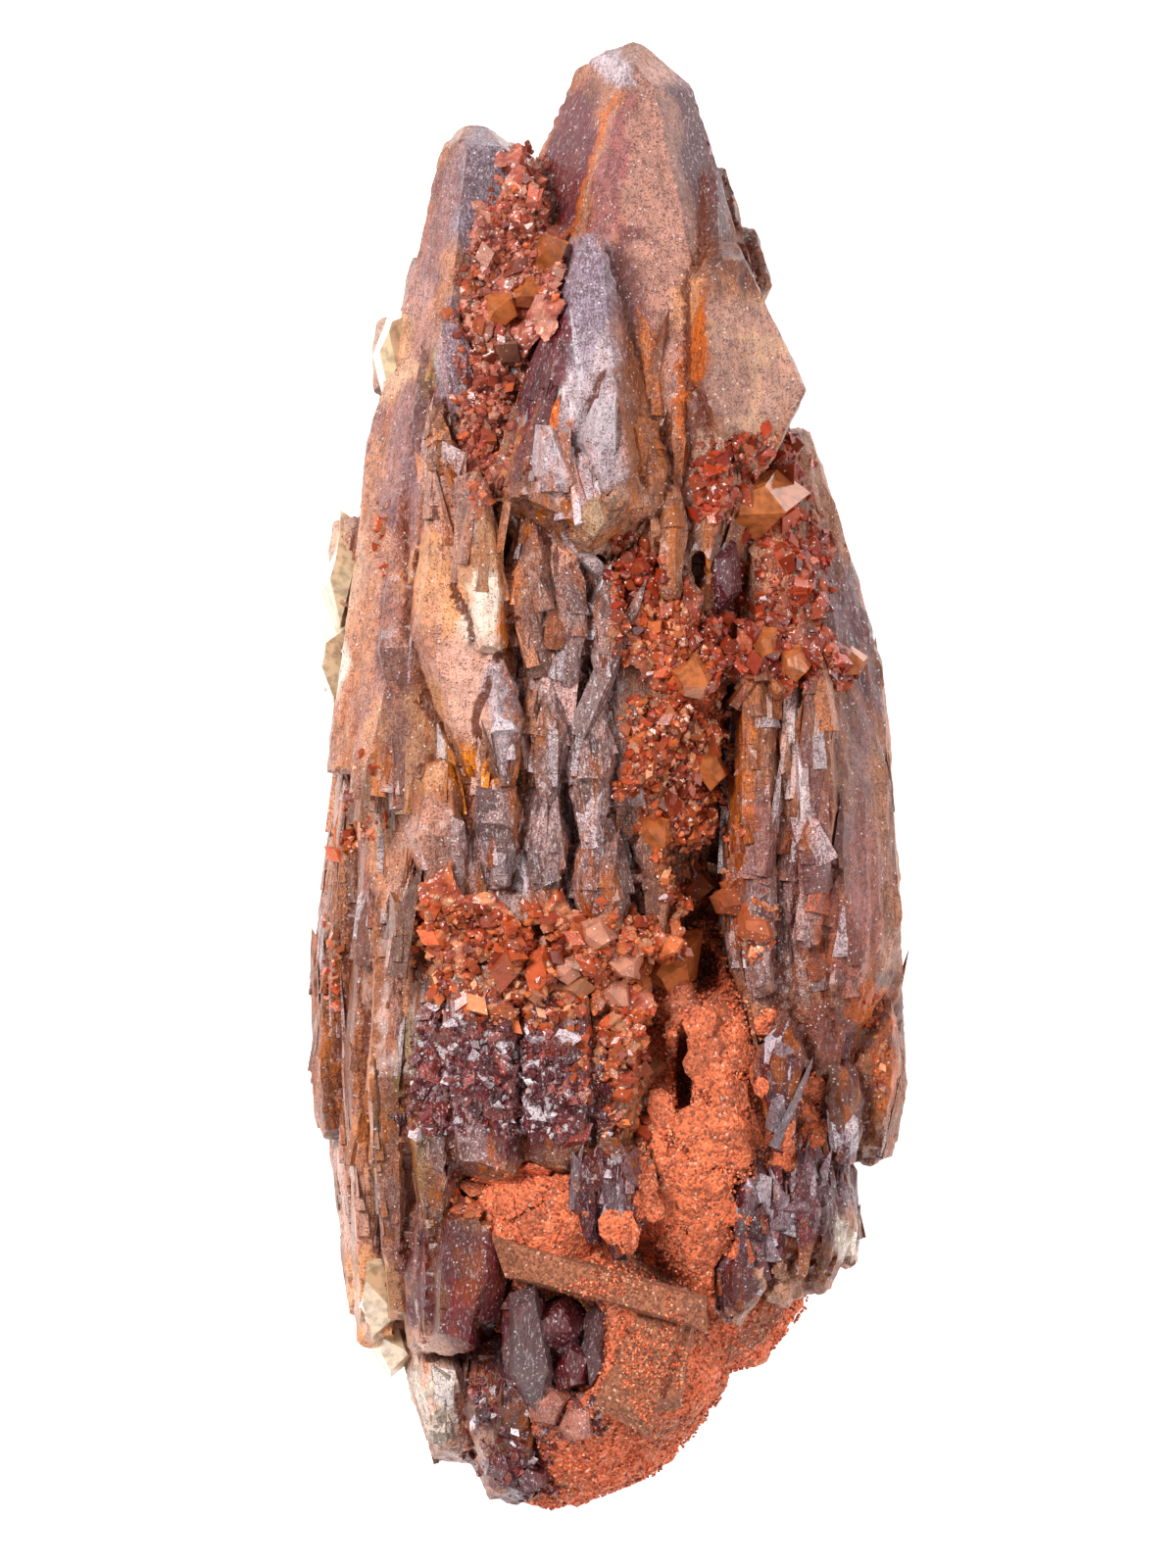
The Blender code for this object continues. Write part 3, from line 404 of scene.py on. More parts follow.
def finish_at(points, normals, seed=1):
    """Colour, specks and glints of the calcite at each point, as five columns."""
    moved = points + 1.3 * drift(points, 3.5, seed) + 0.45 * drift(points, 0.9, seed + 1)
    table = {name: np.array((*colour, *grain)) for name, (colour, *grain) in FINISHES.items()}
    values = np.tile(table["flank"], (len(points), 1))
    streak = np.clip(drift(points * (1, 0.2, 1), 2.6, seed + 2)[:, 0] * 1.6 + 0.35, 0, 1)
    values += streak[:, None] * 0.6 * (table["umber"] - values)
    front = np.clip((normals[:, 2] + 0.45) / 0.3, 0, 1)
    for x, y, across, along, turn, name, strength in ZONES:
        reach = elliptic(moved, x, y, across, along, turn)
        mask = strength * front * np.clip((1.15 - reach) / 0.3, 0, 1)
        values += mask[:, None] * (table[name] - values)
    return values


def roughness_at(points, normals):
    """0 on the smooth crystal faces and 1 on the broken, stepped ones."""
    rough = np.ones(len(points))
    front = np.clip((normals[:, 2] + 0.2) / 0.3, 0, 1)
    for *place, left in SMOOTH:
        inside = np.clip((1.1 - elliptic(points, *place)) / 0.2, 0, 1)
        rough = np.minimum(rough, 1 - (1 - left) * front * inside)
    return rough


class Look:
    """A material whose nodes are made by one method, node()."""

    def __init__(self, name):
        self.material = bpy.data.materials.new(name)
        self.material.use_nodes = True
        self.tree = self.material.node_tree
        self.shader = self.tree.nodes["Principled BSDF"]
        self.end = self.tree.nodes["Material Output"]

    def node(self, kind, settings=None, inputs=None, output=0):
        made = self.tree.nodes.new(kind)
        for key, value in (settings or {}).items():
            setattr(made, key, value)
        for key, value in (inputs or {}).items():
            self.feed(made.inputs[key], value)
        return Signal(self, made.outputs[output])

    def feed(self, socket, value):
        if isinstance(value, Signal):
            self.tree.links.new(value.socket, socket)
        elif isinstance(value, tuple) and len(value) == 3 and socket.type == "RGBA":
            socket.default_value = (*value, 1)
        else:
            socket.default_value = value

    def set(self, **inputs):
        for key, value in inputs.items():
            self.feed(self.shader.inputs[key.replace("_", " ")], value)

    def attribute(self, name, output=0):
        settings = dict(attribute_name=name, attribute_type="GEOMETRY")
        return self.node("ShaderNodeAttribute", settings, output=output)

    def place(self, stretch=(1, 1, 1)):
        """Object coordinates in millimetres, squeezed along each axis by stretch."""
        where = self.node("ShaderNodeTexCoord", output=3)
        scale = tuple(1000 * share for share in stretch)
        return self.node("ShaderNodeMapping", inputs={"Vector": where, "Scale": scale})

    def noise(self, size, detail=3.0, rough=0.55, stretch=(1, 1, 1)):
        """Noise from 0 to 1 with features of this size in millimetres."""
        inputs = {"Vector": self.place(stretch), "Scale": 1 / size, "Detail": detail, "Roughness": rough}
        return self.node("ShaderNodeTexNoise", inputs=inputs)

    def cells(self, size, output=1):
        """Cells of this size: output 0 is the distance from a cell's middle and 1 its random colour."""
        inputs = {"Vector": self.place(), "Scale": 1 / size}
        return self.node("ShaderNodeTexVoronoi", inputs=inputs, output=output)

    def channel(self, colour, index):
        return self.node("ShaderNodeSeparateColor", inputs={0: colour}, output=index)

    def between(self, value, low, high):
        """0 where the value is low, 1 where it is high, and smooth between them."""
        settings = dict(interpolation_type="SMOOTHSTEP")
        inputs = {0: value, 1: low, 2: high, 3: 0.0, 4: 1.0}
        return self.node("ShaderNodeMapRange", settings, inputs)

    def blend(self, share, first, second, mode="MIX"):
        """The first colour turned into the second by this share."""
        settings = dict(data_type="RGBA", blend_type=mode)
        return self.node("ShaderNodeMix", settings, {0: share, 6: first, 7: second}, output=2)

    def shaded(self, colour, tone):
        """The colour made lighter or darker by a tone, which is 1 where it stays as it is."""
        grey = self.node("ShaderNodeCombineColor", inputs={0: tone, 1: tone, 2: tone})
        return self.blend(1.0, colour, grey, "MULTIPLY")

    def bump(self, height, depth):
        """The normal over bumps of this depth in millimetres."""
        inputs = {"Height": height, "Distance": depth * MM, "Strength": 1.0}
        return self.node("ShaderNodeBump", inputs=inputs)


class Signal:
    """A shader socket that Python's own operators work on."""

    def __init__(self, look, socket):
        self.look = look
        self.socket = socket

    def maths(self, operation, first, second):
        return self.look.node("ShaderNodeMath", dict(operation=operation), {0: first, 1: second})

    def __add__(self, other):
        return self.maths("ADD", self, other)

    def __sub__(self, other):
        return self.maths("SUBTRACT", self, other)

    def __mul__(self, other):
        return self.maths("MULTIPLY", self, other)

    def __radd__(self, other):
        return self.maths("ADD", other, self)

    def __rsub__(self, other):
        return self.maths("SUBTRACT", other, self)

    def __rmul__(self, other):
        return self.maths("MULTIPLY", other, self)


def calcite_look(name, gloss=0.24, milky=0.05, stain=0.45):
    """Calcite tinted by iron: colour from the piece, dark specks, stained cracks, painted crevice shade and
    glints.
    """
    look = Look(name)
    tint = look.attribute("tint")
    wear = look.attribute("tint", 3)
    grain = look.attribute("grain")
    specks, glints, crevice = (look.channel(grain, index) for index in range(3))
    cloud = look.noise(1.6, 3)
    fine = look.noise(0.15, 1, 0.6)
    coarse = look.noise(0.55, 3, 0.65)
    streaks = look.noise(0.5, 3, 0.6, (1, 0.12, 1))
    tone = 0.95 * cloud + 0.95 * streaks + 0.5 * look.noise(5.0, 2) - 0.28
    base = look.shaded(tint, tone)
    speckled = look.between(0.6 * fine + 0.4 * coarse + 0.22 * specks, 0.56, 0.64)
    base = look.blend(speckled * 0.72, base, DARK_SPECK)
    rust = look.between(look.noise(2.2, 4, 0.6, (1, 0.14, 1)), 0.53, 0.66)
    base = look.blend(rust * stain * (0.15 + wear), base, RUST_STAIN)
    crack = look.between(look.noise(0.34, 3, 0.6, (1, 0.07, 1)), 0.59, 0.65)
    base = look.blend(crack * (specks + 0.4) * (0.2 + 0.8 * wear), base, CRACK)
    # Darker where the crevice channel is high: painted shade in the crevices and hollows between crystals.
    crevice_shade = look.between(crevice + 0.5 * coarse, 0.5, 0.95)
    base = look.blend(crevice_shade * 0.88, base, CREVICE_SHADE)
    # Tiny near-white spots in a few cells: painted glints.
    glint_spots = look.between(look.channel(look.cells(0.13), 0) + 0.03 * glints, 0.99, 1.0)
    # Pale streaks where the glints share is high: painted sheen.
    sheen_streaks = look.between(look.noise(0.2, 2, 0.6, (1, 0.3, 1)), 0.56, 0.66) * glints
    base = look.blend(sheen_streaks * 0.9, base, SHEEN_COLOUR)
    base = look.blend(glint_spots * 0.6, base, GLINT_COLOUR)
    base = look.node("ShaderNodeHueSaturation", inputs={"Saturation": 1.22, "Color": base})
    look.set(Base_Color=base, Roughness=gloss + 0.3 * coarse - 0.25 * glint_spots)
    look.set(Subsurface_Weight=milky, Subsurface_Radius=(1.0, 0.45, 0.3), Subsurface_Scale=0.0006, IOR=1.58)
    look.set(Coat_Weight=0.18, Coat_Roughness=0.15, Specular_IOR_Level=0.35)
    look.set(Normal=look.bump(fine * 0.7 + coarse + 1.2 * streaks, 0.16))
    return look.material


def druse_look(name):
    """A crust of small iron-red crystals, each with its own depth of colour."""
    look = Look(name)
    tint = look.attribute("tint")
    grain = look.attribute("grain")
    fine = look.noise(0.18, 2)
    cloud = look.noise(0.9, 3)
    tone = 0.45 + 1.0 * cloud
    base = look.shaded(tint, tone)
    dark = look.between(fine + 0.2 * look.channel(grain, 0), 0.64, 0.78)
    base = look.blend(dark * 0.45, base, (0.16, 0.02, 0.01))
    # Tiny near-white spots in a few cells: painted glints on the small crystals.
    cell = look.cells(0.14)
    glint_spots = look.between(look.channel(cell, 0) + 0.03 * look.channel(grain, 1), 0.988, 1.0)
    base = look.blend(glint_spots * 0.8, base, (0.97, 0.86, 0.78))
    look.set(Base_Color=base, Roughness=0.2 + 0.2 * cloud)
    look.set(Subsurface_Weight=0.1, Subsurface_Radius=(1.0, 0.3, 0.12), Subsurface_Scale=0.0005, IOR=1.6)
    look.set(Coat_Weight=0.2, Coat_Roughness=0.08, Specular_IOR_Level=0.35)
    look.set(Normal=look.bump(fine + cloud, 0.05))
    return look.material


def sand_look(name):
    """Loose cemented sand, orange with dark and pale grains."""
    look = Look(name)
    tint = look.attribute("tint")
    cell = look.cells(0.2)
    tone = 0.5 + 0.9 * look.channel(cell, 0)
    base = look.shaded(tint, tone)
    dark = look.between(look.channel(cell, 1), 0.84, 0.9)
    base = look.blend(dark * 0.75, base, (0.14, 0.035, 0.02))
    pale = look.between(look.channel(cell, 2), 0.955, 0.975)
    base = look.blend(pale * 0.7, base, (0.85, 0.52, 0.36))
    stain = look.between(look.noise(3.2, 3), 0.52, 0.75)
    base = look.blend(stain * 0.35, base, (0.24, 0.075, 0.04))
    look.set(Base_Color=base, Roughness=0.75 + 0.2 * look.channel(cell, 2), IOR=1.5)
    look.set(Normal=look.bump(1 - look.cells(0.2, 0), 0.1))
    return look.material


def clear_look(name, surface, colour, density, clarity, roughness=0.06, haze=0.18):
    """A clear crystal, coloured by its depth."""
    look = Look(name)
    cloud = look.noise(0.8, 3)
    look.set(Transmission_Weight=clarity, IOR=1.6, Coat_Weight=0.4, Coat_Roughness=0.05)
    look.set(Roughness=roughness + haze * look.between(cloud, 0.45, 0.75))
    deeper = tuple(0.55 * share for share in surface)
    look.set(Base_Color=look.blend(look.between(cloud, 0.4, 0.7), surface, deeper))
    look.set(Normal=look.bump(look.noise(0.6, 3) + look.noise(0.5, 2, 0.5, (1, 0.1, 1)), 0.02))
    inside = look.node("ShaderNodeVolumeAbsorption", inputs={"Color": (*colour, 1), "Density": density})
    look.feed(look.end.inputs["Volume"], inside)
    return look.material


def merged_copy(node):
    """A CAD node's mesh with its loose triangles joined."""
    bm = bmesh.new()
    bm.from_mesh(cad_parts[node].data)
    bmesh.ops.remove_doubles(bm, verts=bm.verts, dist=1e-6)
    mesh = bpy.data.meshes.new(node + "_merged")
    bm.to_mesh(mesh)
    bm.free()
    return mesh


def ridges_of(mesh, angle=0.3, step=0.1):
    """Points along the sharp edges of a mesh, in millimetres, in a tree."""
    bm = bmesh.new()
    bm.from_mesh(mesh)
    places = []
    for edge in bm.edges:
        if len(edge.link_faces) == 2 and edge.calc_face_angle(0) > angle:
            first, last = (vert.co / MM for vert in edge.verts)
            count = max(1, int((last - first).length / step))
            places += [first.lerp(last, index / count) for index in range(count + 1)]
    bm.free()
    tree = KDTree(len(places))
    for index, place in enumerate(places):
        tree.insert(place, index)
    tree.balance()
    return tree


def fine_copy(node, name, cell):
    """A CAD node's shape in even cells of this size, its faces still flat, with its points and normals."""
    source = merged_copy(node)
    maker = bpy.data.objects.new(node + "_maker", source)
    bpy.context.scene.collection.objects.link(maker)
    remesh = maker.modifiers.new("Remesh", "REMESH")
    remesh.mode = "VOXEL"
    remesh.voxel_size = cell * MM
    graph = bpy.context.evaluated_depsgraph_get()
    mesh = bpy.data.meshes.new_from_object(maker.evaluated_get(graph))
    mesh.name = name
    bpy.data.objects.remove(maker)
    faces = [tuple(face.vertices) for face in source.polygons]
    tree = BVHTree.FromPolygons([vert.co for vert in source.vertices], faces)
    points = np.array([tree.find_nearest(vert.co)[0][:] for vert in mesh.vertices]) / MM
    ridges = ridges_of(source)
    pull = 0.42 * cell
    for index, point in enumerate(points.tolist()):
        spot, _, gap = ridges.find(point)
        if gap < pull:
            points[index] = spot
    place_points(mesh, points)
    normals = np.empty(len(points) * 3, np.float32)
    mesh.vertices.foreach_get("normal", normals)
    return mesh, points, normals.reshape(-1, 3).astype(float)


def place_points(mesh, points):
    mesh.vertices.foreach_set("co", (points * MM).astype(np.float32).ravel())
    mesh.update()


def valleys(mesh, points, normals):
    """How far a point and its neighbours lie below what is round them, less than 0 on a ridge."""
    ends = np.empty(len(mesh.edges) * 2, np.int32)
    mesh.edges.foreach_get("vertices", ends)
    ends = ends.reshape(-1, 2)
    total, count = np.zeros_like(points), np.zeros(len(points))
    for one, other in ((0, 1), (1, 0)):
        np.add.at(total, ends[:, one], points[ends[:, other]])
        np.add.at(count, ends[:, one], 1)
    offset = total / np.maximum(count, 1)[:, None] - points
    bend = (offset * normals).sum(1)
    smooth = bend.copy()
    for one, other in ((0, 1), (1, 0)):
        np.add.at(smooth, ends[:, one], 0.5 * bend[ends[:, other]])
    return smooth


def facets_of(mesh, fineness=6, primes=(7919, 104729, 1299709), most=4093):
    """A number for each face, the same for faces of about the same direction."""
    normals = np.empty(len(mesh.polygons) * 3, np.float32)
    mesh.polygons.foreach_get("normal", normals)
    keys = np.round(normals.reshape(-1, 3) * fineness).astype(np.int64)
    return (keys * primes).sum(1) % most


def corners_of(mesh):
    """The point that each face corner is at."""
    corners = np.empty(len(mesh.loops), np.int32)
    mesh.loops.foreach_get("vertex_index", corners)
    return corners


def shown(name, mesh, look):
    """A piece of the scene that rides on the specimen."""
    obj = bpy.data.objects.new(name, mesh)
    bpy.context.scene.collection.objects.link(obj)
    mesh.materials.clear()
    mesh.materials.append(look)
    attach(obj, BODY)
    return obj


def paint(mesh, tint, grain, wear=1.0):
    """Stores the colour and the grain (specks, painted glints, painted crevice shade) of each corner or
    point, and how worn it is as the colour's alpha.
    """
    for name, values in (("tint", tint), ("grain", grain)):
        domain = "POINT" if len(values) == len(mesh.vertices) else "CORNER"
        layer = mesh.attributes.new(name, "FLOAT_COLOR", domain)
        full = np.ones((len(values), 4), np.float32)
        full[:, :3] = np.clip(values, 0, 1)
        full[:, 3] = wear
        layer.data.foreach_set("color", full.ravel())


def soften(mesh, angle):
    """Smooth shading, apart from edges sharper than the angle."""
    mesh.polygons.foreach_set("use_smooth", np.ones(len(mesh.polygons), bool))
    mesh.set_sharp_from_angle(angle=angle)


def triangle_mesh(name, points, faces):
    """A mesh from points in millimetres and rows of three corners."""
    mesh = bpy.data.meshes.new(name)
    mesh.vertices.add(len(points))
    mesh.vertices.foreach_set("co", (points * MM).astype(np.float32).ravel())
    mesh.loops.add(faces.size)
    mesh.loops.foreach_set("vertex_index", faces.astype(np.int32).ravel())
    mesh.polygons.add(len(faces))
    mesh.polygons.foreach_set("loop_start", np.arange(0, faces.size, 3, dtype=np.int32))
    mesh.update(calc_edges=True)
    mesh.shade_flat()
    return mesh


def lifted(points, normals, amount, still=0.5, lowest=0.3):
    """Points moved out along their normals, apart from those at the back, and none pushed through it."""
    moved = points + normals * (amount * (points[:, 2] > still))[:, None]
    moved[:, 2] = np.maximum(moved[:, 2], np.minimum(points[:, 2], lowest))
    return moved


def worn_crystals(name, node, look, cell, tone_spread):
    """The crystals with growth lines, steps and pitting on their faces."""
    mesh, points, normals = fine_copy(node, name, cell)
    rough = roughness_at(points, normals)
    lines = drift(points * (1, 0.1, 1), 1.1, 21)[:, 0]
    lines += 0.5 * drift(points * (1, 0.12, 1), 0.5, 22)[:, 0]
    steps = drift(points * (1, 0.35, 1), 2.4, 23)[:, 1] * 3
    steps = (np.floor(steps) + np.clip((steps % 1) * 5, 0, 1)) / 3
    pits = drift(points, 0.8, 24)[:, 2]
    valley = np.clip(valleys(mesh, points, normals) / (0.35 * cell), -1, 1)
    crevice = np.clip(valley, 0, 1)
    broken = 0.40 * lines + 0.26 * steps + 0.10 * pits
    lift = rough * broken + (1 - rough) * (0.04 * lines + 0.02 * pits)
    lift -= 0.3 * crevice * (0.3 + 0.7 * rough)
    values = finish_at(points, normals)
    facets = facets_of(mesh)
    place_points(mesh, lifted(points, normals, lift))
    corners = corners_of(mesh)
    sides = np.array([face.loop_total for face in mesh.polygons])
    chance = np.random.default_rng(31)
    # Painted light and shade: each direction of face gets its own random brightness, faces pushed in are
    # darker, and the third grain channel marks the crevices for painted shade.
    tones = 1 + tone_spread * chance.uniform(-1, 1, facets.max() + 1)
    deep = np.clip(-lift / 0.5, 0, 1) * rough
    shade = (1 - 0.35 * deep)[corners] * tones[np.repeat(facets, sides)]
    tint = values[corners, :3] * shade[:, None]
    grain = np.column_stack((values[corners, 3:], np.maximum(crevice, 0.5 * deep)[corners]))
    soften(mesh, 0.5)
    paint(mesh, tint, grain, rough[corners])
    return shown(name, mesh, look)


def cleaved(planes, size=4.0):
    """A block cut to the planes, each a point and an outward direction."""
    bm = bmesh.new()
    bmesh.ops.create_cube(bm, size=size)
    for point, outward in planes:
        bmesh.ops.bisect_plane(
            bm, geom=bm.verts[:] + bm.edges[:] + bm.faces[:], dist=1e-6,
            plane_co=point, plane_no=outward, clear_outer=True,
        )
        bmesh.ops.holes_fill(bm, edges=[edge for edge in bm.edges if edge.is_boundary])
    bmesh.ops.recalc_face_normals(bm, faces=bm.faces)
    return bm


def facing(turn, lean):
    """A direction turned about +Y from +Z, and leaning up towards +Y."""
    return math.sin(turn) * math.cos(lean), math.sin(lean), math.cos(turn) * math.cos(lean)


def spear(taper, sharp, seed):
    """A flat six-sided blade from y = 0 to its point at y = 1, half a unit to each side."""
    chance = np.random.default_rng(seed)
    planes = [((0, 0, 0), (0, -1, 0)), ((0, 1, 0), (0, 1, 0))]
    for azimuth in range(0, 360, 60):
        turn = math.radians(azimuth + chance.uniform(-9, 9))
        reach = 0.5 * (1 - taper) + chance.uniform(0, 0.06)
        place = (math.sin(turn) * reach, 1, math.cos(turn) * reach)
        planes.append((place, facing(turn, math.atan(0.5 * taper))))
    for azimuth in (0, 120, 240):
        turn = math.radians(azimuth + chance.uniform(-25, 25))
        planes.append(((0, 1, 0), facing(turn, math.radians(sharp + chance.uniform(-8, 8)))))
    return cleaved(planes)


def slab(slope, seed):
    """A plate from y = 0 to a slanting end at y = 1, half a unit to each side."""
    chance = np.random.default_rng(seed)
    lean = chance.uniform(-0.25, 0.25)
    planes = [
        ((0, 0, 0), (0, -1, 0)), ((0, 0, 0.5), (lean, 0.1, 1)), ((0, 0, -0.5), (0, 0, -1)),
        ((0.5, 0.5, 0), (1, chance.uniform(0.05, 0.2), 0.3)),
        ((-0.5, 0.5, 0), (-1, chance.uniform(0.05, 0.2), 0.3)),
        ((0, 1, 0), (slope, 1, 0.5)), ((0, 1, 0.2), (-0.6 * slope, 0.5, 1)),
    ]
    return cleaved(planes)


def rhomb():
    """A calcite rhomb of about one unit."""
    bm = bmesh.new()
    bmesh.ops.create_cube(bm, size=1)
    skew = Matrix(((1, 0.22, 0.22), (0.22, 1, 0.22), (0.22, 0.22, 1)))
    bmesh.ops.transform(bm, matrix=skew.to_4x4(), verts=bm.verts)
    return bm


def scalenohedron(seed):
    """A stubby pointed crystal of about one unit, as in a druse."""
    chance = np.random.default_rng(seed)
    planes = []
    for end in (1, -1):
        for azimuth in range(0, 360, 60):
            turn = math.radians(azimuth + 30 * end + chance.uniform(-8, 8))
            place = (math.sin(turn) * 0.12, 0.6 * end, math.cos(turn) * 0.12)
            planes.append((place, facing(turn, end * math.radians(chance.uniform(18, 30)))))
        planes.append(((0, 0.55 * end, 0), (0.3, end, 0.5)))
    return cleaved(planes)


def knob(seed):
    """A low rounded lump of about one unit."""
    chance = np.random.default_rng(seed)
    bm = bmesh.new()
    bmesh.ops.create_icosphere(bm, subdivisions=1, radius=0.5)
    for vert in bm.verts:
        vert.co *= chance.uniform(0.8, 1.25)
    return bm


def block(seed):
    """A thick crystal of about one unit with a few large faces."""
    chance = np.random.default_rng(seed)
    planes = []
    for azimuth in (0, 75, 150, 220, 290):
        turn = math.radians(azimuth + chance.uniform(-14, 14))
        reach = chance.uniform(0.36, 0.5)
        out = (math.sin(turn), math.cos(turn), chance.uniform(0.1, 0.35))
        planes.append(((math.sin(turn) * reach, math.cos(turn) * reach, 0), out))
    for azimuth in (40, 200):
        turn = math.radians(azimuth + chance.uniform(-30, 30))
        out = (math.sin(turn) * 0.8, math.cos(turn) * 0.8, chance.uniform(0.8, 1.3))
        planes.append(((0, 0, 0.46), out))
    planes.append(((0, 0, -0.5), (0, 0, -1)))
    return cleaved(planes)


def slab_block(seed):
    """A flat-topped block of one unit with bevelled, uneven edges."""
    chance = np.random.default_rng(seed)
    planes = []
    for azimuth in (0, 90, 180, 270):
        turn = math.radians(azimuth + chance.uniform(-7, 7))
        for reach, height, tilt in ((0.5, 0, 0.15), (0.45, 0.4, 1.2)):
            place = (math.sin(turn) * reach, math.cos(turn) * reach, height)
            planes.append((place, (math.sin(turn), math.cos(turn), tilt)))
            turn += 0.5
    planes += [((0, 0, 0.42), (0.06, -0.05, 1)), ((0, 0, -0.5), (0, 0, -1))]
    return cleaved(planes)


def grain_shape(seed):
    """A sand grain: eight uneven faces."""
    chance = np.random.default_rng(seed)
    bm = bmesh.new()
    bmesh.ops.create_uvsphere(bm, u_segments=4, v_segments=2, radius=0.5)
    for vert in bm.verts:
        vert.co *= chance.uniform(0.8, 1.2)
    return bm


def arrays_of(bm):
    """A shape's points and triangles."""
    bmesh.ops.triangulate(bm, faces=bm.faces[:])
    bm.verts.index_update()
    points = np.array([vert.co[:] for vert in bm.verts])
    faces = np.array([[vert.index for vert in face.verts] for face in bm.faces])
    bm.free()
    return points, faces


def gathered(name, shapes, picks, frames, places, tints, grains, look):
    """One mesh of many small crystals, each a shape in its own frame at its place in millimetres.

    Picks is the number of the shape for each crystal, and one below 0 leaves that crystal out.
    """
    points, faces, owners, start = [], [], [], 0
    for index, (corners, triangles) in enumerate(shapes):
        chosen = np.flatnonzero(picks == index)
        if not len(chosen):
            continue
        moved = np.einsum("nij,kj->nki", frames[chosen], corners) + places[chosen][:, None, :]
        firsts = start + len(corners) * np.arange(len(chosen))
        points.append(moved.reshape(-1, 3))
        faces.append((triangles[None] + firsts[:, None, None]).reshape(-1, 3))
        owners.append(np.repeat(chosen, len(corners)))
        start += moved.shape[0] * moved.shape[1]
    owners = np.concatenate(owners)
    mesh = triangle_mesh(name, np.concatenate(points), np.concatenate(faces))
    paint(mesh, tints[owners], grains[owners])
    return shown(name, mesh, look)


def lone_piece(name, shape, place, size, turn, tint, grain, look, lean=0.0):
    """One crystal or slab of this size on its own, turned about +Z, its length leaning up."""
    angle = math.radians(turn)
    columns = np.array((
        (math.cos(angle), math.sin(angle), 0.0), (-math.sin(angle), math.cos(angle), lean), (0.0, -lean, 1.0),
    )).T
    frames = (columns * np.array(size))[None]
    tints, grains = np.array((tint,)), np.array((grain,))
    return gathered(name, [arrays_of(shape)], np.zeros(1, int), frames, place, tints, grains, look)


def unit(vectors):
    """Each row at a length of 1."""
    return vectors / np.maximum(np.linalg.norm(vectors, axis=1), 1e-9)[:, None]


def frames_of(across, along, out, sizes):
    """3 by 3 frames whose columns are these directions, scaled to the sizes."""
    return np.stack((across, along, out), axis=2) * sizes[:, None, :]


def surface_samples(mesh, count, seed):
    """Points spread evenly over a mesh, with their normals, in millimetres."""
    chance = np.random.default_rng(seed)
    mesh.calc_loop_triangles()
    points = np.empty(len(mesh.vertices) * 3, np.float32)
    mesh.vertices.foreach_get("co", points)
    triangles = np.empty(len(mesh.loop_triangles) * 3, np.int32)
    mesh.loop_triangles.foreach_get("vertices", triangles)
    corners = points.reshape(-1, 3)[triangles.reshape(-1, 3)] / MM
    crosses = np.cross(corners[:, 1] - corners[:, 0], corners[:, 2] - corners[:, 0])
    areas = np.linalg.norm(crosses, axis=1)
    chosen = chance.choice(len(areas), count, p=areas / areas.sum())
    a, b = np.sqrt(chance.random(count)), chance.random(count)
    weights = np.column_stack((1 - a, a * (1 - b), a * b))
    return np.einsum("nk,nkj->nj", weights, corners[chosen]), unit(crosses[chosen])


def upper_surface(meshes):
    """A function that gives the points and normals of what lies straight below rows of (x, y)."""
    points, faces = [], []
    for mesh in meshes:
        start = len(points)
        points += [vert.co / MM for vert in mesh.vertices]
        faces += [[start + index for index in face.vertices] for face in mesh.polygons]
    tree = BVHTree.FromPolygons(points, faces)

    def below(places):
        hits = [tree.ray_cast(Vector((x, y, ABOVE_ALL)), Vector((0, 0, -1))) for x, y in places]
        hits = [hit for hit in hits if hit[0] is not None]
        return np.array([hit[0][:] for hit in hits]), np.array([hit[1][:] for hit in hits])

    return below


def height_above(points):
    """How far each point stands out of the crystals, in millimetres."""
    heights = []
    for point in points.tolist():
        hit, outward, _, gap = crystal_tree.find_nearest(point)
        heights.append(math.copysign(gap, (Vector(point) - hit).dot(outward)))
    return np.array(heights)


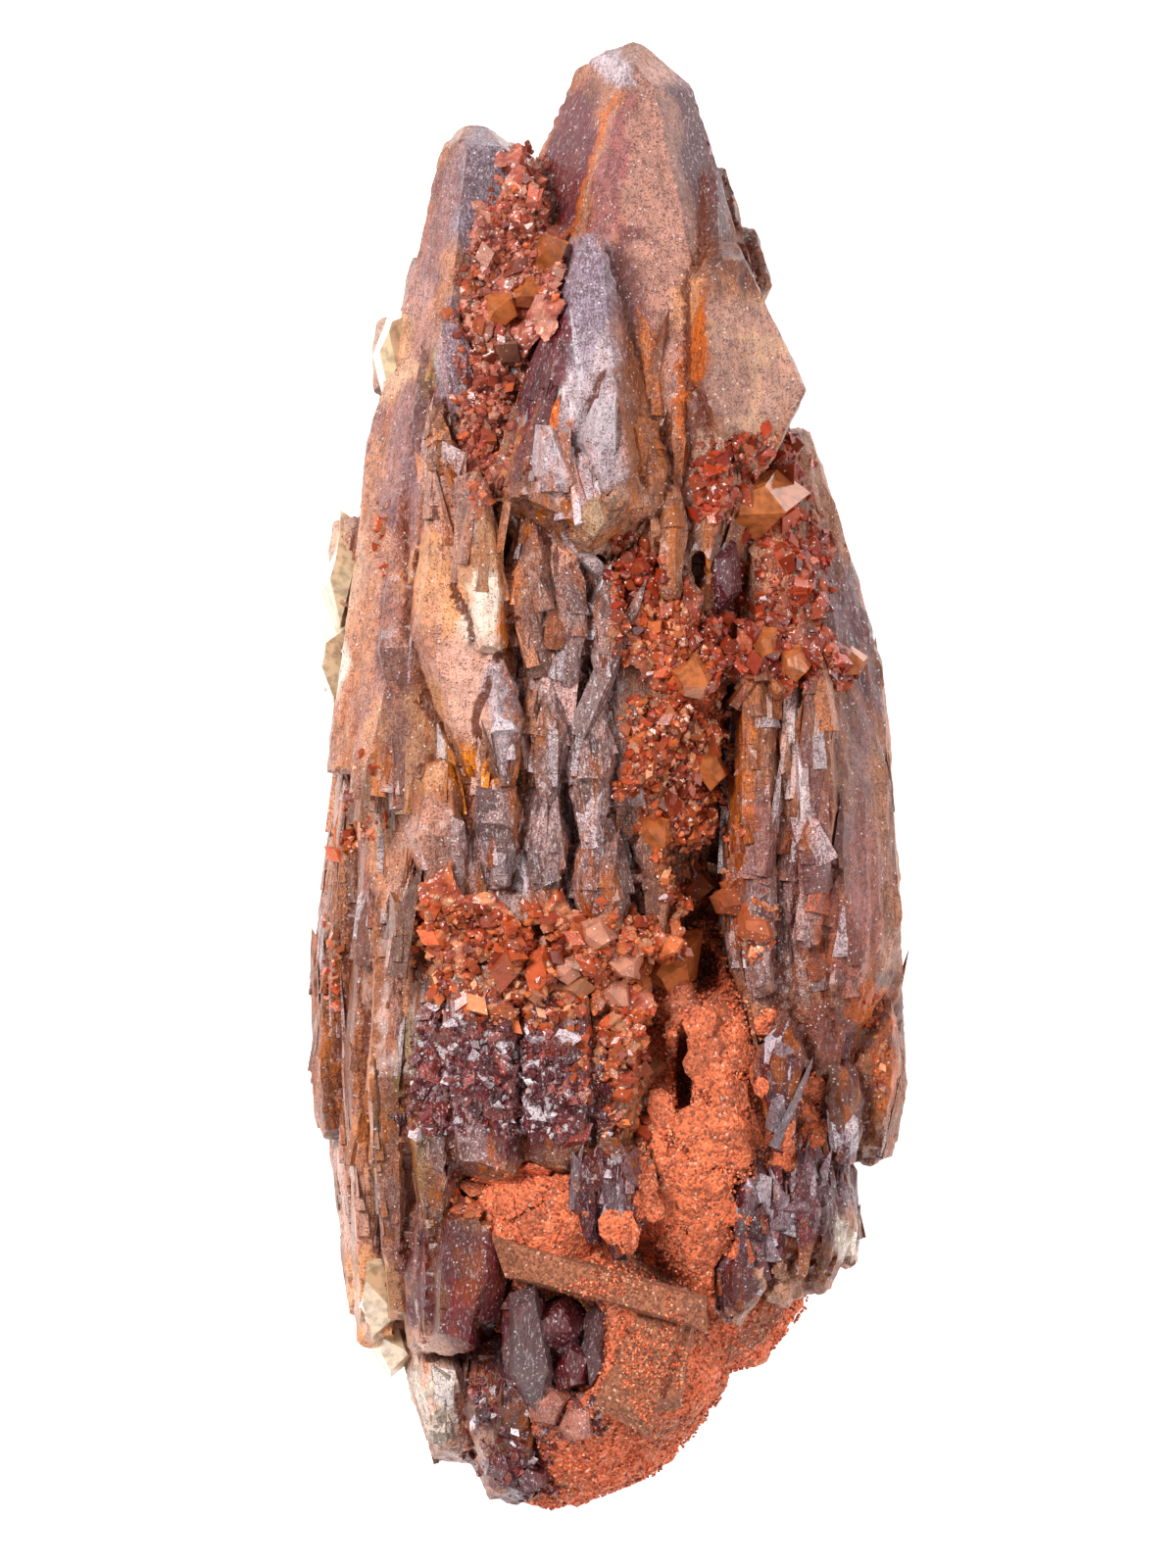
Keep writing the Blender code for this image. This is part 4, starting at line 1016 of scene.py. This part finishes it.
def growth_plates(
    name, points, normals, look, slot, seed,
    wide, long, thick, raised, tones=(0.5, 1.5), ends=None, spare=0.1,
):
    """Small flat crystals that grow along the sheaf, half sunk in the faces they lie on.

    Raised is how steeply they may stand, ends are two colours in place of the calcite's own, and
    spare is how far one may stick out of the crystals.
    """
    chance = np.random.default_rng(seed)
    keep = (abs(normals[:, 1]) < 0.85) & (points[:, 2] > 1.5)
    points, normals = points[keep], normals[keep]
    total = len(points)
    along = np.tile((0.0, 1.0, 0.0), (total, 1)) + chance.normal(0, 0.08, (total, 3))
    along = unit(along - normals * (along * normals).sum(1)[:, None])
    leaning = unit(along + normals * chance.uniform(0.0, raised * 2, total)[:, None])
    across = unit(np.cross(leaning, normals))
    out = np.cross(across, leaning)
    length = long * np.exp(chance.normal(0, 0.45, total))
    width = wide * np.exp(chance.normal(0, 0.4, total))
    depth = thick * np.exp(chance.normal(0, 0.35, total))
    spin = chance.uniform(-0.5, 0.5, total)[:, None]
    turned = across * np.cos(spin) + out * np.sin(spin)
    out = np.cross(turned, leaning)
    frames = frames_of(turned, leaning, out, np.column_stack((width, length, depth)))
    places = points - leaning * (0.6 * length)[:, None] - normals * (0.28 * depth)[:, None]
    tips = places + leaning * length[:, None]
    sides = turned * (0.4 * width)[:, None]
    edges = (tips, places, tips + sides - leaning, tips - sides - leaning)
    stray = np.max([height_above(spots) for spots in edges], axis=0)
    values = finish_at(points, normals)
    if ends is not None:
        first, last = np.array(ends)
        values[:, :3] = first + chance.random((total, 1)) ** 2 * (last - first)
    tone = np.exp(chance.uniform(math.log(tones[0]), math.log(tones[1]), total))[:, None]
    tints = values[:, :3] * tone
    odd = chance.random(total)[:, None]
    rusty, reflection_grey = np.array((0.36, 0.10, 0.035)), np.array((0.36, 0.33, 0.35))
    tints = np.where(odd < 0.10, 0.5 * tints + 0.5 * rusty, tints)
    tints = np.where((odd > 0.10) & (odd < 0.20), 0.4 * tints, tints)
    # A few plates made paler: painted reflections on them.
    tints = np.where(odd > 0.88, 0.5 * tints + reflection_grey, tints)
    grains = np.column_stack((values[:, 3:], chance.uniform(0, 0.3, total)))
    spears = [spear(0.75, 40, 1), spear(0.5, 30, 2), spear(0.9, 50, 3)]
    slabs = [slab(0.5, 4), slab(-0.7, 5), slab(0.15, 6)]
    shapes = [arrays_of(shape) for shape in spears + slabs]
    picks = chance.integers(0, len(shapes), total)
    picks[(places[:, 2] < 1.0) | (tips[:, 2] < 1.0) | (stray > spare + 0.3 * depth)] = -1
    return gathered(name, shapes, picks, frames, places, tints, grains, look)


def within(points, rows):
    """Which points lie in any of the ellipses."""
    return np.min([elliptic(points, *row) for row in rows], axis=0) < 1


def scattered(mesh, count, seed, most=0.75):
    """Places for growth plates, thick on the stepped faces and thin on the smooth ones."""
    chance = np.random.default_rng(seed)
    points, normals = surface_samples(mesh, count, seed)
    rough = roughness_at(points, normals)
    keep = (chance.random(count) < most * rough ** 2) & ~within(points, BARE)
    return points[keep], normals[keep]


def in_patches(rows, density, seed, surface=None):
    """Places inside the patches, this many to a square millimetre, on a surface or the specimen's front."""
    chance = np.random.default_rng(seed)
    places = []
    for x, y, across, along, turn in rows:
        count = max(3, int(density * math.pi * across * along))
        angle, reach = chance.uniform(0, math.tau, count), np.sqrt(chance.random(count))
        reach = reach * (1 + 0.22 * np.sin(3 * angle + seed + x) + 0.12 * np.sin(7 * angle + y))
        u, v = across * reach * np.cos(angle), along * reach * np.sin(angle)
        lean = math.radians(turn)
        sideways = x + u * math.cos(lean) + v * math.sin(lean)
        places.append(np.column_stack((sideways, y - u * math.sin(lean) + v * math.cos(lean))))
    points, normals = (surface or below)(np.concatenate(places))
    closed = ~within(points, PITS)
    return points[closed], normals[closed]


# The camera looks straight down from far off. Its frame is 1600 pixels high, and a pixel covers
# 0.08 mm at the height of the crystals' faces.
FAR = 2.6
FACES_HEIGHT = 0.024
FRAME_MIDDLE = (-1.665, -0.726)
FRAME_PIXELS = 1600
PIXEL = 0.08
SENSOR = 36.0

camera = bpy.data.objects.new("camera", bpy.data.cameras.new("camera"))
bpy.context.scene.collection.objects.link(camera)
bpy.context.scene.camera = camera
camera.location = (FRAME_MIDDLE[0] * MM, FRAME_MIDDLE[1] * MM, FAR + FACES_HEIGHT)
camera.data.sensor_fit = "VERTICAL"
camera.data.sensor_height = SENSOR
camera.data.sensor_width = SENSOR
camera.data.lens = SENSOR * FAR / (FRAME_PIXELS * PIXEL * MM)
camera.data.clip_start, camera.data.clip_end = 0.05, 20.0

calcite = calcite_look("calcite")
dark_glossy = calcite_look("dark_calcite", gloss=0.16, stain=0.1)
druse = druse_look("druse")
sand = sand_look("sand")
amber = clear_look("amber_crystal", (0.86, 0.25, 0.07), (0.98, 0.34, 0.08), density=500.0, clarity=0.45)
pale_clear = clear_look(
    "pale_crystal", (0.95, 0.70, 0.44), (0.99, 0.86, 0.66),
    density=60.0, clarity=0.25, roughness=0.1, haze=0.25,
)

crystals = worn_crystals("crystals", "calcite_crystals", calcite, cell=0.48, tone_spread=0.3)
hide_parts("calcite_crystals")
calcite_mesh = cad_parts["calcite_crystals"].data
whole = merged_copy("calcite_crystals")
crystal_tree = BVHTree.FromPolygons(
    [vert.co / MM for vert in whole.vertices], [tuple(face.vertices) for face in whole.polygons],
)
below = upper_surface([node.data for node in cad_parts.values()])
growth_plates(
    "growth_plates", *scattered(calcite_mesh, 4200, 41), calcite, "calcite", 41,
    wide=0.95, long=4.4, thick=0.42, raised=0.03,
)
growth_plates(
    "fine_plates", *scattered(calcite_mesh, 5200, 42), calcite, "calcite", 42,
    wide=0.42, long=1.8, thick=0.28, raised=0.04,
)
growth_plates(
    "broad_plates", *in_patches(BROAD_PATCHES, 0.42, 45), calcite, "calcite", 45,
    wide=1.6, long=4.4, thick=1.0, raised=0.1, tones=(0.55, 1.9),
)
growth_plates(
    "step_plates", *in_patches(STEP_PATCHES, 2.6, 46), calcite, "calcite", 46,
    wide=1.1, long=5.0, thick=1.1, raised=0.03, tones=(0.6, 1.3), spare=1.6,
)
# The pale end colour of the dark splinters is a painted highlight.
growth_plates(
    "dark_splinters", *in_patches(SPLINTER_PATCHES, 1.8, 44), dark_glossy, "dark_calcite", 44,
    wide=0.9, long=2.6, thick=0.8, raised=0.2, tones=(0.7, 1.4),
    ends=((0.10, 0.032, 0.036), (0.55, 0.44, 0.48)),
)
pocket_face = worn_crystals(
    "pocket_face", "pocket_crystal", dark_glossy, cell=0.3, tone_spread=0.5,
)
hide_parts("pocket_crystal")

# The colours of the small crystals in each kind of druse.
DRUSE_TINTS = np.array((
    (0.58, 0.10, 0.028), (0.66, 0.16, 0.045), (0.40, 0.055, 0.02), (0.78, 0.30, 0.14), (0.52, 0.085, 0.022),
))
RED_DRUSE_TINTS = np.array((
    (0.50, 0.11, 0.065), (0.56, 0.15, 0.09), (0.36, 0.06, 0.035), (0.66, 0.26, 0.17), (0.58, 0.12, 0.035),
))
# In the dark druse the palest colour is a painted glint on the small crystals.
DARK_DRUSE_TINTS = np.array((
    (0.14, 0.035, 0.04), (0.20, 0.06, 0.06), (0.09, 0.02, 0.025),
    (0.85, 0.72, 0.75), (0.42, 0.15, 0.13), (0.28, 0.07, 0.06),
))


def druse_crust(name, node, tints, cell, seed):
    """The granular crust of a druse."""
    mesh, points, normals = fine_copy(node, name, cell)
    lumps = drift(points, 1.1, seed)[:, 0] + 0.7 * drift(points, 0.5, seed + 1)[:, 1]
    place_points(mesh, lifted(points, normals, 0.32 * lumps - 0.1))
    cloud = np.clip(drift(points, 2.2, seed + 2)[:, 0] * 2.2 + 2.0, 0, 3.99)
    low = cloud.astype(int)
    share = (cloud - low)[:, None]
    tint = tints[low] * (1 - share) + tints[low + 1] * share
    # The colour is lighter on the lumps and darker in the dips between them: painted light and shade.
    paint(mesh, tint * (0.85 + 0.3 * lumps)[:, None], np.tile((0.5, 0.3, 0.0), (len(points), 1)))
    piece = shown(name, mesh, druse)
    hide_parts(node)
    return piece


def turned_frames(total, chance, sizes):
    """Frames turned every way, scaled to the sizes."""
    first = unit(chance.normal(0, 1, (total, 3)))
    second = chance.normal(0, 1, (total, 3))
    second = unit(second - first * (first * second).sum(1)[:, None])
    return frames_of(first, second, np.cross(first, second), sizes)


def druse_crystals(name, points, normals, tints, size, seed, sink=0.05, look=druse, slot="amber_druse"):
    """Small rhombs and points that stand on the crust."""
    chance = np.random.default_rng(seed)
    keep = (normals[:, 2] > -0.2) & (points[:, 2] > 3)
    points, normals = points[keep], normals[keep]
    total = len(points)
    edge = size * np.exp(chance.normal(0, 0.42, total))
    frames = turned_frames(total, chance, np.repeat(edge[:, None], 3, axis=1))
    picked = tints[chance.integers(0, len(tints), total)]
    picked = picked * np.exp(chance.uniform(-0.75, 0.25, total))[:, None]
    specks, glints = chance.uniform(0.1, 0.6, total), chance.uniform(0.1, 0.5, total)
    grains = np.column_stack((specks, glints, np.zeros(total)))
    shapes = [arrays_of(rhomb()), arrays_of(scalenohedron(1)), arrays_of(scalenohedron(2))]
    picks = chance.integers(0, len(shapes), total)
    places = points - sink * edge[:, None] * normals
    return gathered(name, shapes, picks, frames, places, picked, grains, look)


def druse_bed(name, points, normals, tints, seed, spread, look=druse, slot="amber_druse"):
    """Flat knobs of the crust under the small crystals."""
    chance = np.random.default_rng(seed)
    total = len(points)
    side = unit(np.cross(normals, chance.normal(0, 1, (total, 3))))
    wide, high = spread * chance.uniform(0.6, 1.4, (total, 2)), chance.uniform(0.5, 1.1, (total, 1))
    frames = frames_of(side, np.cross(normals, side), normals, np.column_stack((wide, high)))
    picked = tints[chance.integers(0, len(tints), total)] * chance.uniform(0.5, 0.9, total)[:, None]
    grains = np.tile((0.6, 0.2, 0.0), (total, 1))
    shapes = [arrays_of(knob(number)) for number in range(3)]
    picks = chance.integers(0, len(shapes), total)
    return gathered(name, shapes, picks, frames, points, picked, grains, look)


druse_crust("upper_druse_crust", "upper_druse", RED_DRUSE_TINTS, cell=0.3, seed=51)
druse_crust("side_druse_crust", "side_druse", DRUSE_TINTS * (0.6, 0.4, 0.38), cell=0.32, seed=54)
druse_crust("band_druse_crust", "band_druse", DRUSE_TINTS, cell=0.32, seed=57)
for name, patches, tints, seed in (
    ("upper_druse_bed", UPPER_PATCHES, RED_DRUSE_TINTS, 64),
    ("side_druse_bed", SIDE_PATCHES, DRUSE_TINTS * (0.7, 0.45, 0.42), 65),
    ("band_druse_bed", BAND_PATCHES, DRUSE_TINTS, 66),
):
    druse_bed(name, *in_patches(patches, 0.3, seed), tints, seed, spread=1.2)
for name, patches, density, tints, size, seed in (
    ("upper_druse_crystals", UPPER_PATCHES, 10.0, RED_DRUSE_TINTS, 0.36, 61),
    ("side_druse_crystals", SIDE_PATCHES, 5.5, DRUSE_TINTS * (0.68, 0.42, 0.4), 0.52, 62),
    ("strip_druse_crystals", STRIP_PATCHES, 8.0, DRUSE_TINTS, 0.42, 70),
    ("band_druse_crystals", BAND_PATCHES, 6.0, DRUSE_TINTS, 0.5, 63),
    ("stray_druse_crystals", STRAY_PATCHES, 5.0, DRUSE_TINTS, 0.42, 67),
):
    druse_crystals(name, *in_patches(patches, density, seed), tints, size, seed)
for name, patches, density, seed in (
    ("dark_druse_crystals", DARK_PATCHES, 12.0, 68), ("pocket_druse_crystals", POCKET_PATCHES, 6.0, 69),
):
    places = in_patches(patches, density, seed)
    druse_crystals(
        name, *places, DARK_DRUSE_TINTS, size=0.55, seed=seed,
        sink=0.2, look=dark_glossy, slot="dark_calcite",
    )

# The single crystals lean up by a quarter, and none of them reaches past this height.
BLOCK_LEAN = 0.25
BLOCK_TOP = 38.0
BLOCK_LOOKS = dict(
    amber=(amber, "amber_druse"), rosy=(druse, "amber_druse"), rust=(druse, "amber_druse"),
    frost=(calcite, "calcite"), honey=(calcite, "calcite"),
)
for number, (x, y, size, turn, finish) in enumerate(BLOCK_CRYSTALS):
    look, slot = BLOCK_LOOKS.get(finish, (dark_glossy, "dark_calcite"))
    spot, _ = below(np.array([(x, y)]))
    spot[:, 2] = np.minimum(spot[:, 2], BLOCK_TOP - 0.66 * size[2])
    place = spot + np.array(((0, 0, 0.2 * size[2]),))
    name, tint = f"block_crystal_{number + 1}", BLOCK_TINTS[finish]
    lone_piece(name, block(number), place, size, turn, tint, (0.2, 0.3, 0.0), look, BLOCK_LEAN)

# The pale crystals stand at the height that the specimen has this far to the right of their middle.
EDGE_REACH = 0.3
EDGE_SEED = 30
for number, (x, y, size, turn) in enumerate(EDGE_CRYSTALS):
    spot, _ = below(np.array([(x + EDGE_REACH, y)]))
    place = np.array(((x, y, spot[0][2] - 0.25 * size[2]),))
    shape, name = block(number + EDGE_SEED), f"edge_crystal_{number + 1}"
    lone_piece(name, shape, place, size, turn, EDGE_TINT, (0, 0, 0), pale_clear)


# The sand grains' colours and how common each is.
SAND_TINTS = (
    ((0.84, 0.19, 0.07), (0.72, 0.14, 0.05), (0.92, 0.36, 0.20), (0.30, 0.065, 0.035), (0.84, 0.22, 0.085)),
    (0.34, 0.28, 0.14, 0.12, 0.12),
)

# The base crystal, where the sand is less lumpy: (x, y, half width, half length, turn).
CALM_SAND = (2.5, -48.0, 8.5, 11.0, 0)


def sandy_rock(name, node, cell):
    """The rock under its sand: lumpy, with darker, finer patches."""
    mesh, points, normals = fine_copy(node, name, cell)
    lumps = 0.5 * drift(points, 3.0, 71)[:, 0] + 0.25 * drift(points, 1.0, 72)[:, 1]
    lumps += 0.12 * drift(points, 0.45, 73)[:, 2]
    lumps *= 1 - 0.75 * np.clip(1.3 - elliptic(points, *CALM_SAND), 0, 1) * (normals[:, 2] > 0)
    place_points(mesh, lifted(points, normals, lumps - 0.1))
    dark = np.clip(drift(points, 4.5, 74)[:, 0] * 1.6 + 0.25, 0, 1)[:, None]
    # Faces that turn sideways or down are darker: painted shade.
    underside = np.clip(0.3 - normals[:, 2], 0, 1)[:, None]
    tint = np.array((0.74, 0.16, 0.06)) * (1 - dark) + np.array((0.36, 0.12, 0.065)) * dark
    tint = tint * (1 - 0.4 * underside)
    paint(mesh, tint, np.zeros_like(points))
    soften(mesh, 0.9)
    piece = shown(name, mesh, sand)
    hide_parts(node)
    return piece


def sand_grains(name, points, normals, size, seed):
    """Grains lying on the rock, in oranges, browns and a few pale ones."""
    chance = np.random.default_rng(seed)
    total = len(points)
    kinds, shares = SAND_TINTS
    picked = np.array(kinds)[chance.choice(len(kinds), total, p=shares)]
    picked = picked * chance.uniform(0.75, 1.25, total)[:, None]
    frames = turned_frames(total, chance, size * chance.uniform(0.7, 1.3, (total, 3)))
    places = points + normals * (0.18 * size)
    shapes = [arrays_of(grain_shape(number)) for number in range(3)]
    picks = chance.integers(0, len(shapes), total)
    return gathered(name, shapes, picks, frames, places, picked, np.zeros((total, 3)), sand)


def upper_side(mesh, count, seed):
    """Places on a mesh that face up or sideways, clear of the surface that the specimen lies on."""
    points, normals = surface_samples(mesh, count, seed)
    keep = (normals[:, 2] > -0.1) & (points[:, 2] > 1)
    return points[keep], normals[keep]


sandy_rock("sandy_rock_face", "sandy_matrix", cell=0.45)
slabs = []
for number, (x, y, size, turn) in enumerate(SAND_SLABS):
    spot, _ = below(np.array([(x, y)]))
    place = spot - np.array(((0, 0, 0.1 * size[2]),))
    shape, name = slab_block(number), f"sand_slab_{number + 1}"
    slabs.append(lone_piece(name, shape, place, size, turn, SLAB_TINT, (0, 0, 0), sand).data)
sand_grains("sand_grains", *upper_side(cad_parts["sandy_matrix"].data, 24000, 81), size=0.34, seed=82)
sand_grains("sand_coat", *in_patches(SAND_PATCHES, 14.0, 83), size=0.36, seed=84)
rim_rows = [(x, y, 0.48 * size[0], 0.48 * size[1], turn) for x, y, size, turn in SAND_SLABS]
sand_grains("rim_grains", *in_patches(rim_rows, 16.0, 87, upper_surface(slabs)), size=0.26, seed=88)
bed_tints = np.array(((0.95, 0.21, 0.08),) * 3)
places = in_patches(SAND_PATCHES, 0.5, 85)
druse_bed("sand_bed", *places, bed_tints, seed=85, spread=2.6, look=sand, slot="sandy_rock")


def floor_look():
    """A pale floor that stays even under the specimen."""
    look = Look("pale_floor")
    look.set(Base_Color=(0.9, 0.9, 0.91), Roughness=0.9)
    look.set(Emission_Color=(1.0, 1.0, 1.0), Emission_Strength=0.7)
    return look.material


FLOOR_SIZE = 4
FLOOR_GAP = 0.0002
floor_shape = bmesh.new()
bmesh.ops.create_grid(floor_shape, x_segments=1, y_segments=1, size=FLOOR_SIZE)
bmesh.ops.translate(floor_shape, verts=floor_shape.verts, vec=(0, 0, -FLOOR_GAP))
floor_mesh = bpy.data.meshes.new("floor")
floor_shape.to_mesh(floor_mesh)
floor_shape.free()
floor = bpy.data.objects.new("floor", floor_mesh)
bpy.context.scene.collection.objects.link(floor)
floor_mesh.materials.append(floor_look())


def soft_light(name, place, size, power):
    """A square light that faces the specimen."""
    data = bpy.data.lights.new(name, "AREA")
    data.shape = "SQUARE"
    data.size = size
    data.energy = power
    light = bpy.data.objects.new(name, data)
    bpy.context.scene.collection.objects.link(light)
    light.location = place
    light.rotation_mode = "QUATERNION"
    light.rotation_quaternion = (-Vector(place)).to_track_quat("-Z", "Y")


soft_light("key_light", (-0.45, 0.35, 0.75), size=0.3, power=10.0)
soft_light("fill_light", (0.6, 0.1, 0.55), size=0.5, power=3.0)
soft_light("low_light", (0.1, -0.8, 0.5), size=0.4, power=2.0)
world = bpy.data.worlds.new("studio")
bpy.context.scene.world = world
world.use_nodes = True
world.node_tree.nodes["Background"].inputs["Color"].default_value = (1.0, 1.0, 1.0, 1)
world.node_tree.nodes["Background"].inputs["Strength"].default_value = 0.27
bpy.context.scene.view_settings.view_transform = "Standard"
